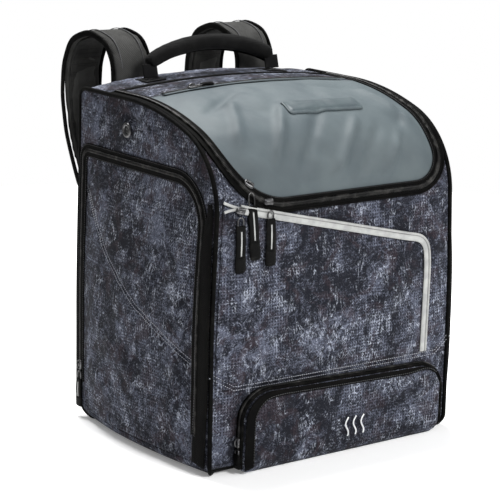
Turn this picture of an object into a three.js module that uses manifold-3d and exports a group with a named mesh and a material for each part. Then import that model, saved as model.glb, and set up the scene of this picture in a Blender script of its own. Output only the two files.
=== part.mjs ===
// Ski boot backpack: a padded box bag with a clamshell lid, two side doors over the boot
// bays, pockets, a haul handle, shoulder straps and zip sliders with swinging pulls.
// Millimetres, +Z up, the front faces -Y, the origin is the middle of the rest face.
import * as THREE from 'three';
import Module from 'manifold-3d';
import { mergeVertices } from 'three/addons/utils/BufferGeometryUtils.js';

const wasm = await Module();
wasm.setup();

// ---- driving dimensions -------------------------------------------------------------
const HALF_WIDTH = 190;
const BACK_Y = 161;
const TOP_Z = 454;
const CROWN = 13;                 // rise of the top's middle over its side edges
const WALL = 5;                   // padded shell
const GAP = 0.3;                  // clearance between touching pieces
const TAPE = 1.5;                 // zip tapes, patches and other thin trim
const TOP_RADIUS = 400;           // the nearly flat top
const TOP_FLAT_Y = 50;            // the top is level from here to the back
const SHOULDER_RADIUS = 106;      // front shoulder, from the top down to the front wall
const SHOULDER_ANGLE = THREE.MathUtils.degToRad(20);
const REAR_RADIUS = 12;
const HEEL_RADIUS = 48;           // bottom edge at the back
const TOE_RADIUS = 18;            // bottom edge at the front
const BASE_TOP_Z = 40;            // the base panel wraps up to here
const LID_HALF = 177;
const LID_FRONT_Z = 341;
const LID_HINGE_Y = 96;
const LID_SEAM_Y = 40;            // smooth front panel meets printed rear band
const LID_CORNER_LEFT = 95;
const LID_CORNER_RIGHT = 46;
const GOGGLE_Y = 25;               // the zip across the lid
const DOOR = { front: -133, rear: 150, bottom: 14.3, top: 374 };
const DOOR_CORNERS = { front: 60, rear: 14, heel: 40 };
const DOOR_TAPE_HALF = 7.5;
const BAY_WIDTH = 124;            // one boot bay, wall to wall
const BAY_ROOF_Z = 340;
const DIVIDER = 4;
const BOARD = 3;                   // stiff sheet in the bottom
const POCKET_THICK = 3;
const VENT = { left: -152, right: 172, bottom: 4, top: 108, corner: 38, depth: 13 };
const HANDLE_X = 102;
const HANDLE_Y = 124;
const HANDLE_PIVOT_Z = 468.6;
const GRIP_RADIUS = 10.5;
const STRAP_X = 104;
const STRAP_WIDTH = 62;
const STRAP_THICK = 12;
const STRAP_DRIFT = 24;           // both straps lie over to the left as they leave the back
const WEBBING = 25;
const PULL_WIDTH = 14;
const SLIDER = { width: 9, length: 14, thick: 3.6 };

// ---- derived places ------------------------------------------------------------------
const INNER_HALF = HALF_WIDTH - WALL - GAP;
const TOP_CENTRE = new THREE.Vector2(TOP_FLAT_Y, TOP_Z - TOP_RADIUS);
const SHOULDER_CENTRE = new THREE.Vector2(-Math.sin(SHOULDER_ANGLE), Math.cos(SHOULDER_ANGLE))
  .multiplyScalar(TOP_RADIUS - SHOULDER_RADIUS).add(TOP_CENTRE);
const FRONT_Y = SHOULDER_CENTRE.x - SHOULDER_RADIUS;
const BAY_INNER_X = HALF_WIDTH - WALL - BAY_WIDTH;
const POCKET_FACE_Y = FRONT_Y - GAP - POCKET_THICK;
const ZIP_FACE_Y = POCKET_FACE_Y - GAP - TAPE;
const VENT_FACE_Y = FRONT_Y - VENT.depth;

const FAR = 600;                  // beyond everything
const QUARTER = Math.PI / 2;

// ---- finishes ------------------------------------------------------------------------
const finish = (color, roughness, metalness = 0) =>
  () => new THREE.MeshStandardMaterial({ color, roughness, metalness });
const printed = finish(0x464856, 0.9);
const smooth = finish(0x738084, 0.75);
const trim = finish(0x2b2b28, 0.8);
const lining = finish(0x3a3a3c, 0.9);
const padding = finish(0x444442, 0.9);
const reflective = finish(0xb9b9b4, 0.5);
const metal = finish(0x55565a, 0.35, 1);
const moulded = finish(0x222222, 0.5);

// ---- solids --------------------------------------------------------------------------
function toSolid(geometry) {
  const plain = geometry.clone();
  plain.deleteAttribute('normal');
  plain.deleteAttribute('uv');
  const merged = mergeVertices(plain, 1e-4);
  return new wasm.Manifold(new wasm.Mesh({
    numProp: 3,
    vertProperties: Float32Array.from(merged.attributes.position.array),
    triVerts: Uint32Array.from(merged.index.array),
  }));
}

function toGeometry(solid) {
  const mesh = solid.getMesh();
  const geometry = new THREE.BufferGeometry();
  geometry.setAttribute('position', new THREE.BufferAttribute(mesh.vertProperties, 3));
  geometry.setIndex(new THREE.BufferAttribute(mesh.triVerts, 1));
  geometry.computeVertexNormals();
  return geometry;
}

// The outline as straight segments, anticlockwise, without the repeated points where arcs meet.
function segmented(shape, curveSegments) {
  const distinct = (path) => {
    const points = path.getPoints(curveSegments)
      .filter((point, i, all) => point.distanceTo(all[(i + 1) % all.length]) > 1e-3);
    return THREE.ShapeUtils.isClockWise(points) ? points.reverse() : points;
  };
  const plain = new THREE.Shape(distinct(shape));
  plain.holes = shape.holes.map((hole) => new THREE.Path(distinct(hole)));
  return plain;
}

// Extrudes a (y, z) outline along X, and an (x, z) outline along Y.
function alongX(shape, x0, x1, steps = 1, curveSegments = 8) {
  const geometry = new THREE.ExtrudeGeometry(
    segmented(shape, curveSegments), { depth: x1 - x0, steps, bevelEnabled: false });
  const axes = new THREE.Matrix4().makeBasis(
    new THREE.Vector3(0, 1, 0), new THREE.Vector3(0, 0, 1), new THREE.Vector3(1, 0, 0));
  return geometry.applyMatrix4(axes).translate(x0, 0, 0);
}

function alongY(shape, y0, y1, curveSegments = 8) {
  const geometry = new THREE.ExtrudeGeometry(
    segmented(shape, curveSegments), { depth: y1 - y0, bevelEnabled: false });
  return geometry.rotateX(QUARTER).translate(0, y1, 0);
}

function block(x0, x1, y0, y1, z0, z1) {
  return new THREE.BoxGeometry(x1 - x0, y1 - y0, z1 - z0)
    .translate((x0 + x1) / 2, (y0 + y1) / 2, (z0 + z1) / 2);
}

const above = (z) => toSolid(block(-FAR, FAR, -FAR, FAR, z, FAR));
const below = (z) => toSolid(block(-FAR, FAR, -FAR, FAR, -FAR, z));
const infront = (y) => toSolid(block(-FAR, FAR, -FAR, y, -FAR, FAR));
const behind = (y) => toSolid(block(-FAR, FAR, y, FAR, -FAR, FAR));

// ---- outlines ------------------------------------------------------------------------
// Side view of the bag, moved inwards by inset (outwards when it is negative).
function bagOutline(inset) {
  const rearY = BACK_Y - REAR_RADIUS;
  const heelY = BACK_Y - HEEL_RADIUS;
  const shape = new THREE.Shape();
  shape.moveTo(heelY, inset);
  shape.absarc(FRONT_Y + TOE_RADIUS, TOE_RADIUS, TOE_RADIUS - inset, -QUARTER, -Math.PI, true);
  shape.absarc(SHOULDER_CENTRE.x, SHOULDER_CENTRE.y, SHOULDER_RADIUS - inset,
    Math.PI, QUARTER + SHOULDER_ANGLE, true);
  shape.absarc(TOP_CENTRE.x, TOP_CENTRE.y, TOP_RADIUS - inset,
    QUARTER + SHOULDER_ANGLE, QUARTER, true);
  shape.absarc(rearY, TOP_Z - REAR_RADIUS, REAR_RADIUS - inset, QUARTER, 0, true);
  shape.absarc(heelY, HEEL_RADIUS, HEEL_RADIUS - inset, 0, -QUARTER, true);
  return shape;
}

// A rectangle with its own radius at each corner: left/right in u, low/high in v.
function roundedOutline(u0, u1, v0, v1, radii) {
  const { lowLeft = 0, lowRight = 0, highRight = 0, highLeft = 0 } = radii;
  const shape = new THREE.Shape();
  shape.moveTo(u0 + lowLeft, v0);
  shape.lineTo(u1 - lowRight, v0);
  if (lowRight) shape.absarc(u1 - lowRight, v0 + lowRight, lowRight, -QUARTER, 0, false);
  shape.lineTo(u1, v1 - highRight);
  if (highRight) shape.absarc(u1 - highRight, v1 - highRight, highRight, 0, QUARTER, false);
  shape.lineTo(u0 + highLeft, v1);
  if (highLeft) shape.absarc(u0 + highLeft, v1 - highLeft, highLeft, QUARTER, Math.PI, false);
  shape.lineTo(u0, v0 + lowLeft);
  if (lowLeft) shape.absarc(u0 + lowLeft, v0 + lowLeft, lowLeft, Math.PI, 3 * QUARTER, false);
  return shape;
}

// A strip of even thickness along a smooth curve through (y, z) points, with round ends.
function stripOutline(points, thick, samples) {
  const curve = new THREE.SplineCurve(points.map(([y, z]) => new THREE.Vector2(y, z)));
  const half = thick / 2;
  const near = [];
  const far = [];
  for (let i = 0; i <= samples; i += 1) {
    const point = curve.getPoint(i / samples);
    const along = curve.getTangent(i / samples);
    const across = new THREE.Vector2(-along.y, along.x).multiplyScalar(half);
    near.push(point.clone().add(across));
    far.push(point.clone().sub(across));
  }
  const start = curve.getPoint(0);
  const cap = curve.getTangent(0).multiplyScalar(-half);
  const corner = near[0].clone().sub(start).add(cap).multiplyScalar(Math.SQRT1_2).add(start);
  const other = far[0].clone().sub(start).add(cap).multiplyScalar(Math.SQRT1_2).add(start);
  return new THREE.Shape([...near, ...far.reverse(), other, start.clone().add(cap), corner]);
}

// ---- the crowned shell and what is cut from it ----------------------------------------
function crowned(geometry) {
  const place = geometry.attributes.position;
  for (let i = 0; i < place.count; i += 1) {
    const x = place.getX(i);
    const z = place.getZ(i);
    const lift = CROWN * (1 - (x / HALF_WIDTH) ** 2) * THREE.MathUtils.smoothstep(z, LID_FRONT_Z, TOP_Z);
    place.setZ(i, z + lift);
  }
  return geometry;
}

// The band between two insets of the side view, across the whole width.
function shell(outer, inner) {
  const shape = bagOutline(outer);
  shape.holes.push(bagOutline(inner));
  return toSolid(crowned(alongX(shape, -INNER_HALF, INNER_HALF, 8, 5)));
}

const wall = shell(0, WALL);
const skin = shell(-GAP - TAPE, -GAP);

// What lies over the lid's plan, grown sideways and downwards by grow.
function lidCutter(grow) {
  const outline = roundedOutline(-LID_HALF - grow, LID_HALF + grow, LID_FRONT_Z - grow, FAR,
    { lowLeft: LID_CORNER_LEFT + grow, lowRight: LID_CORNER_RIGHT + grow });
  return toSolid(alongY(outline, -FAR, LID_HINGE_Y + Math.max(grow, 0), 6));
}

function patch(x0, x1, y0, y1) {
  return toGeometry(skin.intersect(toSolid(block(x0, x1, y0, y1, LID_FRONT_Z, FAR))));
}

const object = new THREE.Group();

function add(name, geometry, material, parent = object) {
  const mesh = new THREE.Mesh(geometry, material());
  mesh.name = name;
  parent.add(mesh);
  return mesh;
}

function basePanels() {
  add('base_panel', toGeometry(wall.intersect(below(BASE_TOP_Z))), trim);
  add('base_board', block(-INNER_HALF + 4, INNER_HALF - 4, FRONT_Y + 20, BACK_Y - HEEL_RADIUS,
    WALL + GAP, WALL + GAP + BOARD), moulded);
}

function frontPanel() {
  const front = wall.intersect(above(BASE_TOP_Z + GAP)).intersect(infront(LID_HINGE_Y));
  add('front_panel', toGeometry(front.subtract(lidCutter(GAP))), printed);
}

function rearPanels() {
  const split = 380;
  const rear = wall.intersect(behind(LID_HINGE_Y + GAP));
  add('top_yoke', toGeometry(rear.intersect(above(split))), printed);
  add('back_panel', toGeometry(rear.intersect(below(split - GAP)).intersect(above(BASE_TOP_Z + GAP))),
    padding);
  const pads = { back_pad_left: [-168, -58], back_pad_centre: [-50, 50], back_pad_right: [58, 168] };
  for (const [name, [x0, x1]] of Object.entries(pads)) {
    const outline = roundedOutline(x0, x1, 116, 388, { lowLeft: 14, lowRight: 14, highRight: 14, highLeft: 14 });
    add(name, alongY(outline, BACK_Y + GAP, BACK_Y + 11, 3), padding);
  }
}

function lidPieces() {
  const lid = wall.intersect(lidCutter(0));
  add('lid_front_panel', toGeometry(lid.intersect(infront(LID_SEAM_Y))), smooth);
  add('lid_rear_band', toGeometry(lid.intersect(behind(LID_SEAM_Y + GAP))), printed);
  const front = skin.intersect(infront(LID_HINGE_Y)).intersect(above(LID_FRONT_Z - 20));
  add('lid_zip', toGeometry(front.intersect(lidCutter(0)).subtract(lidCutter(-9).translate([0, 9, 0]))),
    trim);
  add('body_zip_tape', toGeometry(front.intersect(lidCutter(7)).subtract(lidCutter(GAP))), trim);
  add('lid_label', patch(-35, 87, -96, -70), smooth);
  add('goggle_zip', patch(-150, 150, GOGGLE_Y - 5, GOGGLE_Y + 5), trim);
}

function edgePiping(side, sign) {
  const shape = bagOutline(-GAP - 3);
  shape.holes.push(bagOutline(-GAP));
  const x0 = sign < 0 ? -HALF_WIDTH : INNER_HALF + GAP;
  const ring = toSolid(alongX(shape, x0, x0 + WALL, 1, 6));
  add(`edge_piping_${side}`, toGeometry(ring.intersect(above(60))), trim);
}

// ---- sides -----------------------------------------------------------------------------
function doorOutline(grow) {
  return roundedOutline(DOOR.front - grow, DOOR.rear + grow, DOOR.bottom - grow, DOOR.top + grow, {
    highLeft: DOOR_CORNERS.front + grow,
    highRight: DOOR_CORNERS.rear + grow,
    lowRight: DOOR_CORNERS.heel + grow,
  });
}

function sidePieces(side, sign) {
  const inner = sign * (HALF_WIDTH - WALL);
  const outer = sign * HALF_WIDTH;
  const plate = (shape, a, b) => alongX(shape, Math.min(a, b), Math.max(a, b), 1, 6);
  const panel = toSolid(plate(bagOutline(0), inner, outer));
  const hole = toSolid(plate(doorOutline(GAP), inner - sign, outer + sign));
  add(`side_panel_${side}`, toGeometry(panel.subtract(hole)), printed);
  add(`side_door_${side}`, plate(doorOutline(0), inner, outer), printed);

  const tape = doorOutline(DOOR_TAPE_HALF);
  tape.holes.push(doorOutline(-DOOR_TAPE_HALF));
  const ring = toSolid(plate(tape, outer + sign * GAP, outer + sign * (GAP + TAPE)));
  add(`door_zip_${side}`, toGeometry(ring.intersect(above(DOOR.bottom + DOOR_CORNERS.heel))), trim);

  const eyelet = new THREE.LatheGeometry([[5, 0], [10, 0], [10, 1], [8.4, 2.2], [6.4, 2.2], [5, 1], [5, 0]]
    .map(([r, h]) => new THREE.Vector2(r, h)), 20);
  const ringMesh = add(`eyelet_${side}`, eyelet, metal);
  ringMesh.rotation.z = -sign * QUARTER;
  ringMesh.position.set(outer + sign * GAP, 42, 415);

  const low = WALL + BOARD + 2 * GAP;
  const roof = BAY_ROOF_Z + DIVIDER;
  const inside = toSolid(alongX(bagOutline(WALL + GAP), -INNER_HALF, INNER_HALF, 1));
  const slab = (x0, x1, z0, z1) => toSolid(block(Math.min(sign * x0, sign * x1), Math.max(sign * x0, sign * x1),
    -FAR, FAR, z0, z1));
  const angle = slab(BAY_INNER_X, INNER_HALF, low, roof)
    .subtract(slab(BAY_INNER_X + DIVIDER, FAR, low - 1, BAY_ROOF_Z));
  add(`boot_divider_${side}`, toGeometry(angle.intersect(inside)), lining);
}

// ---- front pockets ----------------------------------------------------------------------
// The reflective zip's centre line: a long slanted run, a round corner, then straight down.
const POCKET_ZIP = {
  start: [-184, 349], cornerIn: [112, 279], corner: [148, 270], cornerOut: [149, 236], end: [146, 113],
};

function pocketOutline(grow) {
  const { start, cornerIn, corner, cornerOut, end } = POCKET_ZIP;
  const shape = new THREE.Shape();
  shape.moveTo(start[0], start[1] + grow);
  shape.lineTo(cornerIn[0], cornerIn[1] + grow);
  shape.quadraticCurveTo(corner[0] + grow, corner[1] + grow, cornerOut[0] + grow, cornerOut[1]);
  shape.lineTo(end[0] + grow, end[1]);
  return shape;
}

function frontPockets() {
  const pocket = pocketOutline(0);
  pocket.lineTo(POCKET_ZIP.start[0], POCKET_ZIP.end[1]);
  add('front_pocket', alongY(pocket, POCKET_FACE_Y, FRONT_Y - GAP), printed);

  const tape = pocketOutline(5);
  const inner = pocketOutline(-6).getPoints(8).reverse();
  inner.forEach((point) => tape.lineTo(point.x, point.y));
  add('pocket_zip', alongY(tape, ZIP_FACE_Y, POCKET_FACE_Y - GAP), reflective);

  const outline = (inset) => roundedOutline(VENT.left + inset, VENT.right - inset, VENT.bottom + inset,
    VENT.top - inset, { lowLeft: 6, lowRight: 6, highRight: VENT.corner - inset, highLeft: VENT.corner - inset });
  const gusset = outline(0);
  gusset.holes.push(outline(3));
  add('vent_gusset', alongY(gusset, VENT_FACE_Y + GAP, FRONT_Y - GAP, 6), trim);
  add('vent_pocket', alongY(outline(0), VENT_FACE_Y - 3, VENT_FACE_Y, 6), printed);
  const coil = outline(-GAP - TAPE);
  coil.holes.push(outline(-GAP));
  const band = toSolid(alongY(coil, VENT_FACE_Y + 3, VENT_FACE_Y + 8, 6));
  add('vent_zip', toGeometry(band.intersect(above(14))), trim);
}

// ---- carrying ---------------------------------------------------------------------------
function haulHandle() {
  const rise = (x) => 14 + 26 * Math.sqrt(1 - (x / (HANDLE_X + 3)) ** 2);
  const lean = Math.tan(THREE.MathUtils.degToRad(15));
  const points = [-1, -0.9, -0.65, -0.3, 0, 0.3, 0.65, 0.9, 1].map((share) => {
    const height = rise(share * HANDLE_X);
    return new THREE.Vector3(share * HANDLE_X, HANDLE_Y + height * lean, HANDLE_PIVOT_Z + height);
  });
  const section = new THREE.Shape().absarc(0, 0, GRIP_RADIUS, 0, 2 * Math.PI, false);
  add('handle_grip', new THREE.ExtrudeGeometry(section, {
    steps: 20, curveSegments: 6, bevelEnabled: false, extrudePath: new THREE.CatmullRomCurve3(points),
  }), padding);
  for (const [side, sign] of [['left', -1], ['right', 1]]) {
    const x = sign * HANDLE_X;
    const foot = stripOutline([[HANDLE_Y, HANDLE_PIVOT_Z], [HANDLE_Y + 3, HANDLE_PIVOT_Z + 12]], 3, 1);
    add(`handle_foot_${side}`, alongX(foot, x - 12, x + 12), trim);
    add(`handle_patch_${side}`, patch(x - 17, x + 17, HANDLE_Y - 14, HANDLE_Y + 16), trim);
  }
}

const STRAP_PATH = [[168, 452], [169, 482], [184, 510], [214, 521], [243, 507], [258, 472],
  [261, 430], [252, 380], [231, 318], [206, 255], [189, 206]];

function shoulderStrap(side, sign) {
  const half = STRAP_WIDTH / 2;
  const pad = alongX(stripOutline(STRAP_PATH, STRAP_THICK, 22), -half, half);
  const place = pad.attributes.position;
  for (let i = 0; i < place.count; i += 1) {
    const drift = STRAP_DRIFT * THREE.MathUtils.smoothstep(place.getY(i), 165, 261);
    place.setX(i, place.getX(i) + sign * STRAP_X - drift);
  }
  add(`strap_pad_${side}`, pad, padding);
  const x = sign * STRAP_X - 4;
  add(`ladder_lock_${side}`, block(x - 19, x + 19, 182, 190, 174, 199), moulded);
  const webbing = stripOutline([[185, 172], [179, 118], [164.5, 62]], 2, 6);
  add(`lower_webbing_${side}`, alongX(webbing, x - WEBBING / 2, x + WEBBING / 2), trim);
  const anchor = sign * STRAP_X;
  add(`strap_patch_${side}`, block(anchor - half, anchor + half, BACK_Y + GAP, BACK_Y + GAP + TAPE, 396, 440),
    trim);
}

// ---- zip sliders and their pulls ----------------------------------------------------------
// Local frame: the slider lies in XZ with its back on y = 0 and its outer face towards -Y.
function slider(name, position, tilt = 0, turn = 0, spin = 0) {
  const w = SLIDER.width / 2;
  const h = SLIDER.length / 2;
  const outline = new THREE.Shape([[-w, h - 3], [-w + 2, h], [w - 2, h], [w, h - 3], [w - 1.5, -h], [-w + 1.5, -h]]
    .map(([x, z]) => new THREE.Vector2(x, z)));
  const body = alongY(outline, -SLIDER.thick, 0).rotateY(spin).rotateX(-tilt).rotateZ(turn);
  add(name, body.translate(...position), metal);
}

// A pull is a strip that hangs from its pivot, drawn in (distance out, height) from it.
function pull(name, pivot, path, thick = 4, turn = 0) {
  const outline = stripOutline(path.map(([out, height]) => [-out, height]), thick, 5);
  const strip = alongX(outline, -PULL_WIDTH / 2, PULL_WIDTH / 2);
  add(name, strip.rotateZ(turn).translate(...pivot), trim);
}

function zipHardware() {
  const onShoulder = (z, out) => {
    const tilt = Math.asin((z - SHOULDER_CENTRE.y) / SHOULDER_RADIUS);
    const radius = SHOULDER_RADIUS + out;
    return { tilt, y: SHOULDER_CENTRE.x - radius * Math.cos(tilt), z: SHOULDER_CENTRE.y + radius * Math.sin(tilt) };
  };
  const lid = { lid_slider_left: [-140, 370], lid_slider_right: [-114, 347] };
  for (const [name, [x, z]] of Object.entries(lid)) {
    const at = onShoulder(z, GAP + TAPE + 0.6);
    slider(name, [x, at.y, at.z], at.tilt);
  }
  pull('lid_pull_left', [-140, -157.2, 361.2], [[0, 0], [5, -12], [9.5, -24], [11, -50], [11, -84]]);
  pull('lid_pull_right', [-114, -164.4, 337], [[0, 0], [1.5, -10], [2.5, -22], [3, -44], [3, -68]]);

  slider('pocket_slider', [-160, ZIP_FACE_Y - 0.4, 341], 0, 0, 1.35);
  pull('pocket_pull', [-160, ZIP_FACE_Y - 2.4, 333], [[0, 0], [1, -20], [1.5, -40], [1.5, -68]]);

  const ventX = VENT.left - GAP - TAPE - 0.4;
  slider('vent_slider', [ventX, VENT_FACE_Y + 5.5, 42], 0, -QUARTER);
  pull('vent_pull', [ventX - 2.4, VENT_FACE_Y + 5.5, 32.4], [[0, 0], [0, -10], [0, -25]], 3, -QUARTER);

  for (const [side, sign] of [['left', -1], ['right', 1]]) {
    const x = sign * (HALF_WIDTH + GAP + TAPE + 0.4);
    slider(`door_slider_${side}`, [x, DOOR.rear, 74], 0, sign * QUARTER);
    pull(`door_pull_${side}`, [x + sign * 2.4, DOOR.rear, 64.4], [[0, 0], [0, -24], [0, -50]], 4, sign * QUARTER);
  }

  const onTop = (x, y) => GAP + TAPE + TOP_CENTRE.y + Math.sqrt(TOP_RADIUS ** 2 - (TOP_FLAT_Y - y) ** 2)
    + CROWN * (1 - (x / HALF_WIDTH) ** 2);
  const x = -104;
  const goggle = alongY(roundedOutline(-7, 7, 0, SLIDER.thick, {}), GOGGLE_Y - 4.5, GOGGLE_Y + 4.5);
  add('goggle_slider', goggle.translate(x, 0, onTop(x + 7, GOGGLE_Y) + 0.6), metal);
  const tab = stripOutline([8.6, 21, 33].map((step) => [x + step, onTop(x + step, GOGGLE_Y) + 2.4]), 2, 3);
  add('goggle_pull', alongY(tab, GOGGLE_Y - 4, GOGGLE_Y + 4), metal);
}

basePanels();
frontPanel();
rearPanels();
lidPieces();
frontPockets();
for (const [side, sign] of [['left', -1], ['right', 1]]) {
  edgePiping(side, sign);
  sidePieces(side, sign);
  shoulderStrap(side, sign);
}
haulHandle();
zipHardware();

export default object;
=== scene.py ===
"""Looks of the ski boot backpack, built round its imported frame.

Every soft panel is a surface of two parameters: a side profile carried across the width for
the front, lid, top, back and base, and the flat side planes for the doors. Outlines are drawn
in those two parameters, filled with rings of points, and dressed with tapes, coils, piping and
stitches that are profiles carried along paths on the same surfaces. Metres, front towards -Y.
"""

import logging
import math
from dataclasses import dataclass, replace
from enum import StrEnum
from typing import Callable, Sequence

import bpy
import numpy as np
from mathutils import Matrix, Vector


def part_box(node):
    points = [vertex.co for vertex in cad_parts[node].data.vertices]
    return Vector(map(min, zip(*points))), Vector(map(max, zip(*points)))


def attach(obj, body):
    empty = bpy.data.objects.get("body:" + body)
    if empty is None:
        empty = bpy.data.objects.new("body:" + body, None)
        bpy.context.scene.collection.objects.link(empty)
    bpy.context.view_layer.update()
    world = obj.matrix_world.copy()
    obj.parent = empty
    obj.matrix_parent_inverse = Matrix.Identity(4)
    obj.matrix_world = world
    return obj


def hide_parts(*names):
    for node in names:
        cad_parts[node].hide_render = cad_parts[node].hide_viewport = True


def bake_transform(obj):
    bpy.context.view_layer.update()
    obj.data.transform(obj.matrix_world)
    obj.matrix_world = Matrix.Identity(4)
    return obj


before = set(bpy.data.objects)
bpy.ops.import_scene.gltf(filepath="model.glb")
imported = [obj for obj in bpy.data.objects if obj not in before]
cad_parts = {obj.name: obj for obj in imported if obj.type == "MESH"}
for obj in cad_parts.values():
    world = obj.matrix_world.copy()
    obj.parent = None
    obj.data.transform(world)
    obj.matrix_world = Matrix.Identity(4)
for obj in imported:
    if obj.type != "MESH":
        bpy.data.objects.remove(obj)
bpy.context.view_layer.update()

logging.basicConfig(level=logging.INFO, format="%(message)s")
LOG = logging.getLogger("boot_bag")

MM = 0.001
Array = np.ndarray
Path2 = Sequence[tuple[float, float]]


class Side(StrEnum):
    """The bag's two sides, seen from the front."""
    LEFT = "left"
    RIGHT = "right"

    @property
    def sign(self) -> int:
        """-1 for the left and 1 for the right."""
        return -1 if self is Side.LEFT else 1


class Slot(StrEnum):
    """The record's material slots."""
    PRINTED = "printed_fabric"
    SMOOTH = "smooth_fabric"
    TRIM = "trim_fabric"
    PADDED = "padded_mesh"
    LINING = "lining_fabric"
    REFLECTIVE = "reflective_tape"
    METAL = "dark_metal"
    PLASTIC = "moulded_plastic"


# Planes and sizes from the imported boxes.
HALF_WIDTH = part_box("side_panel_right")[1].x
BACK_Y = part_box("side_panel_right")[1].y
TOP_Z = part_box("side_panel_right")[1].z
FRONT_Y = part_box("side_panel_right")[0].y
HINGE_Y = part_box("lid_rear_band")[1].y
LID_FRONT_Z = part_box("lid_front_panel")[0].z
LID_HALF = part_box("lid_front_panel")[1].x
DOOR_LOW, DOOR_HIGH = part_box("side_door_left")
LID_SEAM_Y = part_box("goggle_zip")[1].y + 0.001
# Radii of the side view, from the top over both ends, and where the top levels out.
TOP_RADIUS = 0.400
TOP_FLAT_Y = 0.050
SHOULDER_RADIUS = 0.106
SHOULDER_ANGLE = math.radians(20)
REAR_RADIUS = 0.012
HEEL_RADIUS = 0.048
TOE_RADIUS = 0.018
# Fullness: the top's crown, the front's belly, the sides' bulge, and the roll under the base.
CROWN = 0.013
BELLY = 0.0045
ROLL = 0.018
EDGE_FULL = 0.008
MIDDLE_FULL = 0.012
# Corner radii of the lid and the doors, and how long a cloth runs.
LID_CORNERS = (0.095, 0.046)
DOOR_RADII = {"high_left": 0.060, "high_right": 0.014, "low_right": 0.040}
CLOTH_FRAMES = 20


# ---- numbers and outlines ---------------------------------------------------------------
def smooth(value: Array, low: float, high: float) -> Array:
    """Rises smoothly from 0 at low to 1 at high."""
    share = np.clip((value - low) / (high - low), 0.0, 1.0)
    return share * share * (3.0 - 2.0 * share)


def ripple(u: Array, v: Array, seed: int, size: float, waves: int = 7) -> Array:
    """Smooth irregular height between about -1 and 1: a sum of plane waves in seeded directions.

    Args:
        u, v: coordinates in metres.
        seed: chooses the directions and phases.
        size: rough distance between bumps, in metres.
    Returns:
        One height for each pair.
    """
    chance = np.random.default_rng(seed)
    total = np.zeros(np.broadcast(u, v).shape)
    for _ in range(waves):
        turn, phase = chance.uniform(0, 2 * np.pi, 2)
        pitch = 2 * np.pi / (size * chance.uniform(0.7, 1.7))
        total += np.sin((u * np.cos(turn) + v * np.sin(turn)) * pitch + phase)
    return total / waves * 1.6


def fold(u: Array, v: Array, start: tuple[float, float], end: tuple[float, float], width: float) -> Array:
    """A soft ridge from start to end: a bell curve across the line, fading out at both ends.

    Args:
        u, v: where to measure.
        start, end: the ridge's ends.
        width: the bell's width.
    Returns:
        Heights between 0 and 1.
    """
    a, b = np.array(start), np.array(end)
    line = b - a
    length = np.hypot(*line)
    along = ((u - a[0]) * line[0] + (v - a[1]) * line[1]) / length ** 2
    across = ((u - a[0]) * line[1] - (v - a[1]) * line[0]) / length
    fade = smooth(along, -0.05, 0.25) * (1 - smooth(along, 0.7, 1.1))
    return np.exp(-(across / width) ** 2) * fade


def resample(points: Array, count: int, closed: bool) -> Array:
    """Evenly spaced points along a polyline.

    Args:
        points: corners of the line.
        count: points wanted.
        closed: joins the ends.
    Returns:
        The points, one row each.
    """
    if closed:
        points = np.vstack([points, points[:1]])
    steps = np.r_[0, np.cumsum(np.linalg.norm(np.diff(points, axis=0), axis=1))]
    at = np.linspace(0, steps[-1], count, endpoint=not closed)
    return np.column_stack([np.interp(at, steps, points[:, i]) for i in range(points.shape[1])])


def arc(centre: tuple[float, float], radius: float, start: float, end: float, count: int = 24) -> Array:
    """Points on a circle from angle start to angle end, in degrees."""
    turn = np.radians(np.linspace(start, end, count))
    return np.column_stack([centre[0] + radius * np.cos(turn), centre[1] + radius * np.sin(turn)])


def rounded(u0: float, u1: float, v0: float, v1: float, radii: dict[str, float] | float) -> Array:
    """A rectangle with a radius at each corner, anticlockwise from low left.

    Args:
        u0, u1, v0, v1: the sides.
        radii: one radius, or one for each named corner.
    Returns:
        The outline.
    """
    names = ("low_left", "low_right", "high_right", "high_left")
    if isinstance(radii, float):
        radii = dict.fromkeys(names, radii)
    r = {name: max(radii.get(name, 0.0), 1e-4) for name in names}
    return np.vstack([
        arc((u0 + r["low_left"], v0 + r["low_left"]), r["low_left"], 180, 270),
        arc((u1 - r["low_right"], v0 + r["low_right"]), r["low_right"], 270, 360),
        arc((u1 - r["high_right"], v1 - r["high_right"]), r["high_right"], 0, 90),
        arc((u0 + r["high_left"], v1 - r["high_left"]), r["high_left"], 90, 180),
    ])


def offset(points: Array, distance: float, closed: bool = True) -> Array:
    """The line moved sideways by distance, to the right of its direction (outwards if anticlockwise).

    Args:
        points: the line.
        distance: the step.
        closed: joins the ends.
    Returns:
        The moved line.
    """
    if closed:
        ahead, before = np.roll(points, -1, axis=0), np.roll(points, 1, axis=0)
    else:
        ahead, before = np.vstack([points[1:], points[-1:]]), np.vstack([points[:1], points[:-1]])
    run = ahead - before
    run /= np.linalg.norm(run, axis=1, keepdims=True) + 1e-12
    return points + distance * np.column_stack([run[:, 1], -run[:, 0]])


def half_width(y: Array, z: Array) -> Array:
    """Half the stuffed bag's width: fullest halfway back and low down, rolled in under the base.

    Args:
        y, z: depth and height.
    Returns:
        Half the width there.
    """
    full = EDGE_FULL * (1 - 0.45 * smooth(y, 0.05, 0.15)) + MIDDLE_FULL * np.clip(1 - (y / 0.155) ** 2, 0, 1)
    roll = ROLL * (1 - np.sqrt(1 - (1 - np.clip(z / ROLL, 0, 1)) ** 2))
    return HALF_WIDTH + full * (1 - smooth(z, 0.16, 0.43)) - roll


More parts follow.
